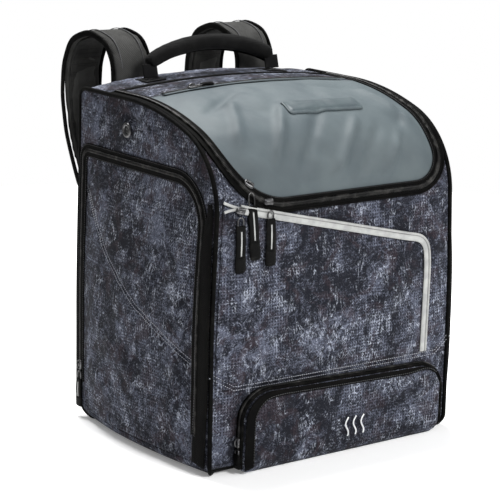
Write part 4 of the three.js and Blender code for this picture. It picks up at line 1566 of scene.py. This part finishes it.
# ---- pockets on the front ----------------------------------------------------------------
@dataclass
class FrontPockets:
    """The flat pocket with its pale zip and the boxy low pocket with its vent mark."""
    zip_path: tuple = ((-0.184, 0.349), (0.112, 0.279), (0.138, 0.2735), (0.1475, 0.262), (0.149, 0.236),
                       (0.146, 0.113))
    level: float = 2.6 * MM
    droop: float = 9 * MM

    def make(self) -> None:
        """Builds both pockets."""
        self.flat_pocket()
        self.box_pocket()

    def soft_path(self) -> Array:
        """The zip's path with its corner rounded: each point averaged with its neighbours along the run.

        Returns:
            The path.
        """
        line = resample(front_line(self.zip_path), 400, False)
        kernel = np.hanning(31) / np.hanning(31).sum()
        padded = np.vstack([np.repeat(line[:1], 15, 0), line, np.repeat(line[-1:], 15, 0)])
        return np.column_stack([np.convolve(padded[:, i], kernel, "valid") for i in (0, 1)])

    def flat_pocket(self) -> None:
        """The printed pocket, sunk along its zip, and the zip itself."""
        line = self.soft_path()
        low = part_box("front_pocket")[0]
        corner = front_line([(low.x, low.z)])
        outer = resample(np.vstack([line, corner]), 900, True)
        folds = (((0.02, -0.03), (0.10, -0.15), 0.014, 0.0026),
                 ((-0.13, -0.03), (-0.06, -0.16), 0.016, -0.0024),
                 ((0.13, -0.09), (0.02, -0.17), 0.013, 0.0024),
                 ((-0.16, -0.16), (-0.05, -0.19), 0.011, 0.0022))
        relief = Relief(level=self.level, puff=0.0032, ripples=0.0015, size=0.065, seed=71, spread=0.04,
                        folds=folds)
        panel = cut_panel("pocket_cloth", SHELL, outer, relief, 2.2 * MM, 3 * MM)
        dress(panel, "bag", PRINT, "front_pocket")
        closed = line[22:]
        for label, shift, width in (("wide", 2.6 * MM, 7.4 * MM), ("narrow", -3.4 * MM, 3.4 * MM)):
            band = tape(f"pocket_tape_{label}", SHELL, offset(closed, shift, False), width, 4.8 * MM,
                        1.6 * MM, crown=0.7 * MM)
            dress(band, "bag", GREY_TAPE, *(["pocket_zip"] if label == "wide" else []))
        teeth = coil("pocket_coil", SHELL, offset(closed, -1.4 * MM, False), 4.9 * MM, 0.8 * MM)
        dress(teeth, "bag", GREY_COIL)
        for label, drop in (("upper", 0.004), ("lower", -0.008)):
            mouth = np.column_stack([line[:24, 0], line[:24, 1] + drop * np.linspace(1, 0, 24) ** 1.3])
            lip = tape(f"pocket_mouth_{label}", SHELL, mouth, 3.6 * MM, 5.0 * MM, 1.4 * MM, crown=0.5 * MM)
            dress(lip, "bag", GREY_TAPE)
        slider("pocket_slider_body", "pocket_slider", "bag", (0.96, 0, -0.24), (0, -1, 0))

    def box_pocket(self) -> None:
        """The low pocket: a crowned face on an upright gusset, a zip round the gusset, and a vent mark."""
        low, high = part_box("vent_pocket")
        radii = {"low_left": 6 * MM, "low_right": 6 * MM, "high_left": 38 * MM, "high_right": 38 * MM}
        edge = rounded(low.x, high.x, low.z + 1 * MM, high.z, radii)
        edge[:, 1] -= self.droop * smooth(edge[:, 0], 0.0, high.x) * smooth(edge[:, 1], 0.03, 0.09)
        face = front_line(edge)
        depth = FRONT_Y - low.y
        folds = (((-0.05, -0.30), (-0.088, -0.225), 0.006, -0.0035),
                 ((0.08, -0.24), (0.14, -0.31), 0.012, 0.0024))
        relief = Relief(level=depth - BELLY * 0.3, puff=0.0020, ripples=0.0012, size=0.05, seed=81,
                        spread=0.03, folds=folds, roll=5 * MM)
        panel = cut_panel("vent_cloth", SHELL, resample(face, 900, True), relief, 2.2 * MM, 2.6 * MM)
        dress(panel, "bag", PRINT, "vent_pocket")
        line = resample(face, 700, True)
        path, _ = on_surface(SHELL, line, 0.0)
        path[:, 1] -= (depth - 2 * MM) / 2
        path[:, 2] = np.maximum(path[:, 2], 2.4 * MM)
        forward = np.tile([0.0, -1.0, 0.0], (700, 1))
        wall = sweep("vent_side", path, forward, strip(3 * MM, depth - 3 * MM), True)
        dress(wall, "bag", TRIM, "vent_gusset")
        kept = np.flatnonzero(line[:, 1] > SHELL.at_height(0.014))
        edge = offset(line, 1.4 * MM)[self.in_order(kept)]
        path, up = on_surface(SHELL, edge, depth - 8 * MM)
        band = sweep("vent_zip_band", path, up, strip(2.6 * MM, 12 * MM), False)
        dress(band, "bag", TRIM, "vent_zip")
        path, up = on_surface(SHELL, offset(edge, 1.6 * MM, False), depth - 7.5 * MM)
        count = int(np.linalg.norm(np.diff(path, axis=0), axis=1).sum() / (1.7 * MM)) * 3
        fine, fine_up = resample(path, count, False), resample(up, count, False)
        bumps = 0.86 + 0.22 * np.cos(np.arange(count) * 2 * np.pi / 3)
        teeth = sweep("vent_coil", fine, fine_up, circle(1.6 * MM, 6) * np.array([0.8, 1.35]), scale=bumps)
        dress(teeth, "bag", COIL)
        self.face_band(face, relief)
        slider("vent_slider_body", "vent_slider", "vent_runner", (0, 0, 1), (-1, 0, 0), (-2.5 * MM, 0, 0))
        pull_low, pull_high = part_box("vent_pull")
        Pull("vent_tab", "vent_pull", "pull_vent", (pull_low.x - 1.0 * MM, (pull_low.y + pull_high.y) / 2,
             pull_high.z - 1 * MM), (0, 0, -1), (-1, 0, 0), pull_high.z - pull_low.z - 1 * MM, 12 * MM,
             9 * MM, False).make()
        self.vent_mark(depth)

    @staticmethod
    def face_band(face: Array, relief: Relief) -> None:
        """The black zip flap on the pocket's face: wide up its left edge, narrower along its top.

        A flat profile follows the outline, set in by half its width, which shrinks along the run.

        Args:
            face: the pocket's outline.
            relief: its height.
        """
        line = resample(face, 700, True)
        bottom = line[:, 1].min()
        corner = (line[:, 0] < line[:, 0].min() + 1 * MM) & (line[:, 1] < bottom + 12 * MM)
        line = np.roll(line, -int(np.flatnonzero(corner)[0]), axis=0)[::-1]
        total = np.linalg.norm(np.diff(line, axis=0), axis=1).cumsum()
        reach = int(np.searchsorted(total, 0.395))
        line = resample(line[:reach], 200, False)
        share = np.linspace(0, 1, 200)
        width = 0.40 * (1 - 0.52 * smooth(share, 0.18, 0.36)) * (1 - 0.8 * smooth(share, 0.86, 1.0)) + 0.05
        run = np.gradient(line, axis=0)
        run /= np.linalg.norm(run, axis=1, keepdims=True)
        inwards = np.column_stack([run[:, 1], -run[:, 0]])
        full = 0.034
        middle = line + inwards * (width * full / 2 + 1 * MM)[:, None]
        path, up = on_surface(SHELL, middle, relief.level + 2.6 * MM)
        flap = sweep("vent_flap", path, up, strip(full, 3.0 * MM, 1.0 * MM), scale=width)
        dress(flap, "bag", TRIM)
        edge = line + inwards * (width * full - 1.5 * MM)[:, None]
        dress(stitches("vent_flap_seam", SHELL, edge, relief.level + 4.3 * MM), "bag", DARK_THREAD)

    @staticmethod
    def in_order(kept: Array) -> Array:
        """Indices of one unbroken stretch of a closed line."""
        gap = np.flatnonzero(np.diff(kept) > 1)
        return kept if len(gap) == 0 else np.r_[kept[gap[0] + 1:], kept[:gap[0] + 1]]

    def vent_mark(self, depth: float) -> None:
        """Three wavy lines, each a sine across its height.

        Args:
            depth: how far the pocket stands out.
        """
        for index in range(3):
            share = np.linspace(0, 1, 40)
            x = 0.010 + index * 0.013 + 2.6 * MM * np.sin(share * 2 * np.pi + 0.6)
            z = 0.024 + share * 0.026
            line = front_line(np.column_stack([x, z]))
            mark = tape(f"vent_mark_{index}", SHELL, line, 2.2 * MM, depth + 3.4 * MM, 0.5 * MM)
            dress(mark, "bag", PALE_INK)


# ---- handle, straps and back pads --------------------------------------------------------
@dataclass
class Handle:
    """The carrying handle: a padded tube in mesh on webbing feet."""
    half: float = 0.102
    reach: float = 0.105
    rise: float = 0.026
    foot: float = 0.014
    lean: float = math.radians(15)
    radius: float = 11.2 * MM

    def arch(self, x: Array) -> Array:
        """Points of the handle's middle line: a soft hump over the pivot, leaning back.

        Args:
            x: across the bag.
        Returns:
            Points.
        """
        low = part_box("handle_foot_left")[0]
        pivot_y, pivot_z = centre_of("handle_foot_left").y, low.z + 1.5 * MM
        height = self.foot + self.rise * np.clip(1 - (x / self.reach) ** 2, 0, 1) ** 0.8
        return np.column_stack([x, pivot_y + height * math.tan(self.lean), pivot_z + height])

    def make(self) -> None:
        """Builds the padded grip, its seam and the two feet."""
        x = self.half * np.sin(np.linspace(-np.pi / 2, np.pi / 2, 72))
        path = self.arch(x)
        back = np.tile([0.0, 1.0, 0.25], (len(path), 1))
        size = 0.80 + 0.20 * smooth(np.cos(np.linspace(-np.pi / 2, np.pi / 2, 72)), 0.0, 0.55)
        grip = sweep("grip_pad", path, back, circle(self.radius, 20) * np.array([1.0, 0.95]), scale=size)
        puff(grip, 3.0, 2 * MM, 4 * MM)
        # The grip wears the darkened copy of the spacer mesh: painted shade against the top light.
        dress(grip, "handle", SHADED_GRIP_MESH, "handle_grip", padded=0.8)
        seam, up = path + np.array([0, 0.35, -0.9]) * (self.radius + 0.6 * MM), back
        dress(sweep("grip_seam", seam[4:-4], up[4:-4], strip(5 * MM, 1.6 * MM)), "handle", TRIM)
        for side in Side:
            node = f"handle_foot_{side}"
            low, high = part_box(node)
            share = np.linspace(0, 1, 18)
            middle = centre_of(node)
            foot = np.column_stack([np.full(18, middle.x), low.y + 1.5 * MM + share * (high.y - low.y) * 0.8,
                                    low.z + share * (high.z - low.z + 4 * MM)])
            web = sweep(f"grip_foot_{side}", foot, np.tile([0, -1.0, 0.3], (18, 1)),
                        strip(23 * MM, 2.6 * MM))
            dress(web, "handle", WEBBING, node)


@dataclass
class Straps:
    """Two padded shoulder straps with bound edges, webbing, buckles and lower straps."""
    path: tuple = ((0.168, 0.452), (0.169, 0.482), (0.184, 0.510), (0.214, 0.521), (0.243, 0.507),
                   (0.258, 0.472), (0.261, 0.430), (0.252, 0.380), (0.231, 0.318), (0.206, 0.255),
                   (0.189, 0.206))
    width: float = 60 * MM
    thick: float = 10 * MM
    lower: tuple = ((0.185, 0.172), (0.179, 0.118), (0.1645, 0.062))
    seat: float = 0.104
    drift: float = 0.024
    tacks: tuple[int, ...] = (48, 58, 72, 90)

    def middle(self, sign: int, count: int) -> Array:
        """The strap's middle line: its side view smoothed, lying over to the left as it leaves the back.

        Args:
            sign: the side.
            count: points wanted.
        Returns:
            Points.
        """
        line = resample(np.array(self.path), 400, False)
        kernel = np.hanning(41) / np.hanning(41).sum()
        ends = np.vstack([2 * line[0] - line[20:0:-1], line, 2 * line[-1] - line[-2:-22:-1]])
        line = np.column_stack([np.convolve(ends[:, i], kernel, "valid") for i in (0, 1)])
        line = resample(line, count, False)
        x = sign * self.seat - self.drift * smooth(line[:, 0], 0.165, 0.261)
        return np.column_stack([x, line])

    def make(self) -> None:
        """Builds both sides."""
        for side in Side:
            self.strap(side)

    def strap(self, side: Side) -> None:
        """One strap, from its seam at the top of the back to its buckle.

        Args:
            side: left or right.
        """
        sign, body = side.sign, f"strap_{side}"
        path = self.middle(sign, 120)
        along = np.gradient(path, axis=0)
        along /= np.linalg.norm(along, axis=1, keepdims=True)
        out = np.cross(along, np.tile([1.0, 0, 0], (120, 1)))
        out /= np.linalg.norm(out, axis=1, keepdims=True)
        w, t = self.width / 2, self.thick / 2
        turn = np.linspace(0, 2 * np.pi, 28, endpoint=False)
        lens = np.column_stack([w * np.sign(np.cos(turn)) * np.abs(np.cos(turn)) ** 0.55,
                                t * np.sign(np.sin(turn)) * np.abs(np.sin(turn)) ** 0.75])
        pad = sweep(f"shoulder_pad_{side}", path, out, lens)
        puff(pad, 4.0, 3 * MM)
        dress(pad, body, PAD_CLOTH, f"strap_pad_{side}", padded=0.6)
        across = np.cross(along, out)
        for label, sense in (("outer", 1), ("inner", -1)):
            edge = path + across * sense * (w + 0.3 * MM)
            oval = circle(1.0, 10) * np.array([2.0, 4.4]) * MM
            dress(sweep(f"shoulder_bind_{label}_{side}", edge, out, oval), body, TRIM)
        face = 1 if out[60, 1] > 0 else -1
        mesh_at = path - out * face * (t + 0.9 * MM)
        flat = strip(self.width - 14 * MM, 2.4 * MM, 0.6 * MM)
        dress(sweep(f"shoulder_mesh_{side}", mesh_at[4:-4], out[4:-4], flat), body, SPACER)
        web = path + out * face * (t + 1.2 * MM)
        dress(sweep(f"shoulder_web_{side}", web[44:], out[44:], strip(25 * MM, 1.8 * MM)), body, WEBBING)
        for label, shift in (("a", -0.30), ("b", 0.30)):
            line = web[3:-3] + across[3:-3] * shift * self.width - out[3:-3] * face * 1.0 * MM
            groove = sweep(f"shoulder_quilt_{label}_{side}", line, out[3:-3], strip(1.6 * MM, 1.0 * MM))
            dress(groove, body, DARK_THREAD)
        for at in self.tacks:
            tack = web[at] + out[at] * face * 1.1 * MM
            bar = np.array([tack - across[at] * 11 * MM, tack, tack + across[at] * 11 * MM])
            mark = sweep(f"shoulder_tack_{at}_{side}", bar, np.tile(out[at], (3, 1)),
                         strip(3.2 * MM, 0.8 * MM))
            dress(mark, body, THREAD)
        self.buckle(side)

    def buckle(self, side: Side) -> None:
        """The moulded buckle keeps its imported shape; a loop above it and a strap below join it to the bag.

        Args:
            side: left or right.
        """
        node, body = f"ladder_lock_{side}", f"strap_{side}"
        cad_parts[node].data.materials.clear()
        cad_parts[node].data.materials.append(NYLON.material())
        low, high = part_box(node)
        x, y = (low.x + high.x) / 2, low.y - 1.3 * MM
        share = np.linspace(0, 1, 14)
        height = low.z + 4 * MM + share * (high.z - low.z + 12 * MM)
        loop = np.column_stack([np.full(14, x), np.full(14, y), height])
        loop = sweep(f"buckle_loop_{side}", loop, np.tile([0, 1.0, 0], (14, 1)), strip(25 * MM, 1.6 * MM))
        dress(loop, body, WEBBING)
        line = resample(np.array(self.lower), 60, False)
        path = np.column_stack([np.full(60, x), line])
        path[:, 1] += 0.6 * MM * np.sin(np.linspace(0, 9, 60))
        web = sweep(f"lower_strap_{side}", path, np.tile([0, 1.0, 0.1], (60, 1)), strip(25 * MM, 1.8 * MM))
        web.data.materials.append(WEBBING.material())
        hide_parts(f"lower_webbing_{side}")
        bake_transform(web)
        LOG.info("%s between %s and bag", web.name, body)


@dataclass
class BackPads:
    """Three foam pads on the back, each quilted by sunk channels across it."""
    channels: int = 3

    def make(self) -> None:
        """Builds the pads as crowned closed forms and their bindings."""
        for name in ("left", "centre", "right"):
            node = f"back_pad_{name}"
            low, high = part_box(node)
            self.pad(name, node, low, high)

    def pad(self, name: str, node: str, low: Vector, high: Vector) -> None:
        """One pad: a rounded rectangle whose front stands out in pillows between its channels.

        Args:
            name, node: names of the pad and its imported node.
            low, high: corners.
        """
        inset = 4 * MM
        outer = rounded(low.x + inset, high.x - inset, low.z + inset, high.z - inset, 16 * MM)
        plane = BackSurface(low.y + 0.4 * MM)
        lines = []
        for step in range(1, self.channels + 1):
            z = low.z + (high.z - low.z) * step / (self.channels + 1)
            lines.append(((low.x + 12 * MM, z), (high.x - 12 * MM, z)))
        relief = Relief(level=4.2 * MM, puff=high.y - low.y - 6.5 * MM, spread=0.02, ripples=0.0003, seed=91,
                        grooves=tuple(lines), groove_depth=3.6 * MM, groove_width=6 * MM, roll=3.6 * MM)
        piece = cut_panel(f"foam_{name}", plane, resample(outer, 900, True), relief, 3.4 * MM, 3.5 * MM)
        graph = bpy.context.evaluated_depsgraph_get()
        solid = bpy.data.meshes.new_from_object(piece.evaluated_get(graph))
        piece.modifiers.clear()
        piece.data = solid
        self.settle(piece, low, high)
        dress(piece, "bag", SPACER, node, padded=0.5)
        rim = rounded(low.x + 2 * MM, high.x - 2 * MM, low.z + 2 * MM, high.z - 2 * MM, 17 * MM)
        edge = resample(rim, 300, True)
        path, up = on_surface(plane, edge, 1.8 * MM)
        dress(sweep(f"foam_binding_{name}", path, up, circle(2.2 * MM), True), "bag", TRIM)

    @staticmethod
    def settle(piece: bpy.types.Object, low: Vector, high: Vector) -> None:
        """Relaxes the pad's skin as a cloth held at its rim, moving no point more than 2 mm.

        Args:
            piece: the pad.
            low, high: corners.
        """
        mesh = piece.data
        near = corners_of(mesh)[:, 1] < low.y + 3.4 * MM
        pins = piece.vertex_groups.new(name="held")
        pins.add(np.flatnonzero(near).tolist(), 1.0, "REPLACE")
        cloth = piece.modifiers.new("skin", "CLOTH")
        cloth.settings.vertex_group_mass = "held"
        cloth.settings.effector_weights.gravity = 0.0
        cloth.settings.use_pressure = True
        cloth.settings.uniform_pressure_force = 2.0
        moved = run_cloth(piece, cloth, 2 * MM)
        moved[:, 1] = np.clip(moved[:, 1], low.y, high.y + 1 * MM)
        mesh.vertices.foreach_set("co", moved.reshape(-1))
        mesh.update()


class BackSurface:
    """The bag's back plane: the parameters are x and z."""

    def __init__(self, y: float) -> None:
        """y is the plane's depth."""
        self.y = y

    def place(self, x: Array, z: Array, lift: Array | float = 0.0) -> Array:
        """Points at x and z, lifted backwards off the plane."""
        x, z, lift = np.broadcast_arrays(np.asarray(x, float), np.asarray(z, float), lift)
        return np.stack([x, self.y + lift, z], axis=-1)


# ---- front pulls and kept nodes ----------------------------------------------------------
@dataclass
class FrontPulls:
    """The three long pulls that hang together at the front's upper left."""
    ribbon: float = 14.5 * MM

    def make(self) -> None:
        """Builds each pull at its packed pivot."""
        Pull("lid_tab_a", "lid_pull_left", "pull_lid_left", (-0.140, -0.1572, 0.3612), (0, -0.155, -1),
             (0, -1, 0.155), 0.084, self.ribbon, 19 * MM).make()
        Pull("lid_tab_b", "lid_pull_right", "pull_lid_right", (-0.114, -0.1644, 0.337), (0, -0.03, -1),
             (0, -1, 0.03), 0.070, self.ribbon, 13 * MM).make()
        Pull("pocket_tab", "pocket_pull", "pull_pocket", (-0.160, -0.16405, 0.333), (0, -0.02, -1),
             (0, -1, 0.02), 0.070, self.ribbon, 13 * MM).make()

    @staticmethod
    def board() -> None:
        """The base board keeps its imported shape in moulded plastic."""
        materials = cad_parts["base_board"].data.materials
        materials.clear()
        materials.append(NYLON.material())


# ---- studio ------------------------------------------------------------------------------
@dataclass
class Studio:
    """Camera, soft lights and a pale floor."""
    turn: float = math.radians(-36.7)
    rise: float = math.radians(12.97)
    roll: float = math.radians(1.15)
    distance: float = 2.6888
    aim: float = 0.24045
    shift_right: float = -0.01818
    lens: float = 143.1
    ambient: float = 0.33
    lights: tuple[tuple[str, tuple[float, float, float], float, float], ...] = (
        ("key", (0.2, -2.6, 2.2), 0.9, 90.0),
        ("fill", (2.2, -2.0, 1.3), 1.6, 24.0),
        ("top", (0.10, 0.9, 2.7), 1.2, 130.0),
    )

    def make(self) -> None:
        """Sets the camera, world, lights and floor."""
        a, e = self.turn, self.rise
        back = np.array([math.sin(a) * math.cos(e), -math.cos(a) * math.cos(e), math.sin(e)])
        right = np.array([math.cos(a), math.sin(a), 0.0])
        up = np.cross(back, right)
        place = np.array([0, 0, self.aim]) + back * self.distance + right * self.shift_right
        c, s = math.cos(self.roll), math.sin(self.roll)
        right, up = right * c + up * s, up * c - right * s
        data = bpy.data.cameras.new("camera")
        data.lens, data.sensor_width = self.lens, 36.0
        data.clip_start, data.clip_end = 0.05, 50.0
        camera = bpy.data.objects.new("camera", data)
        rows = [[right[i], up[i], back[i], place[i]] for i in range(3)]
        camera.matrix_world = Matrix(rows + [[0, 0, 0, 1]])
        bpy.context.scene.collection.objects.link(camera)
        bpy.context.scene.camera = camera
        bpy.context.scene.view_settings.view_transform = "Standard"
        for name, place, size, power in self.lights:
            self.light(name, place, size, power)
        world = bpy.data.worlds.new("studio")
        world.use_nodes = True
        tree = Tree(world.node_tree)
        seen = tree.node("ShaderNodeLightPath").outputs["Is Camera Ray"]
        strength = tree.sum("ADD", tree.sum("MULTIPLY", seen, 1.0 - self.ambient), self.ambient)
        sky = world.node_tree.nodes["Background"]
        sky.inputs[0].default_value = (1.0, 1.0, 1.0, 1.0)
        world.node_tree.links.new(strength, sky.inputs[1])
        bpy.context.scene.world = world
        self.floor()

    @staticmethod
    def light(name: str, place: tuple[float, float, float], size: float, power: float) -> None:
        """An area light that looks at the bag's middle.

        Args:
            place: where it stands.
            size: edge.
            power: watts.
        """
        data = bpy.data.lights.new(name, "AREA")
        data.energy, data.size = power, size
        lamp = bpy.data.objects.new(name, data)
        aim = Vector((0, 0, 0.2)) - Vector(place)
        lamp.matrix_world = Matrix.Translation(place) @ aim.to_track_quat("-Z", "Y").to_matrix().to_4x4()
        bpy.context.scene.collection.objects.link(lamp)

    @staticmethod
    def floor() -> None:
        """A wide pale floor just under the bag."""
        angles = np.linspace(0, 2 * np.pi, 96, endpoint=False)
        turn, reach = np.meshgrid(angles, (0.01, 0.8, 1.7), indexing="ij")
        points = np.stack([reach * np.cos(turn), reach * np.sin(turn), np.full(turn.shape, -0.4 * MM)], -1)
        faces = facing_out(points, quads(96, 3, True, False), points + np.array([0, 0, 1.0]))
        ground = build("floor", points, faces.tolist(), False)
        made = bpy.data.materials.new("floor_white")
        made.use_nodes = True
        shader = made.node_tree.nodes["Principled BSDF"]
        shader.inputs["Base Color"].default_value = (0.90, 0.90, 0.90, 1.0)
        shader.inputs["Roughness"].default_value = 0.9
        shader.inputs["Emission Color"].default_value = (1.0, 1.0, 1.0, 1.0)
        shader.inputs["Emission Strength"].default_value = 0.16
        ground.data.materials.append(made)


def main() -> None:
    """Builds the bag and its studio."""
    Studio().make()
    for part in (Wrap(), Lid(), SideDoors(), FrontPockets(), Handle(), Straps(), BackPads(), FrontPulls()):
        LOG.info("building %s", type(part).__name__)
        part.make()
    FrontPulls.board()


if __name__ == "__main__":
    main()
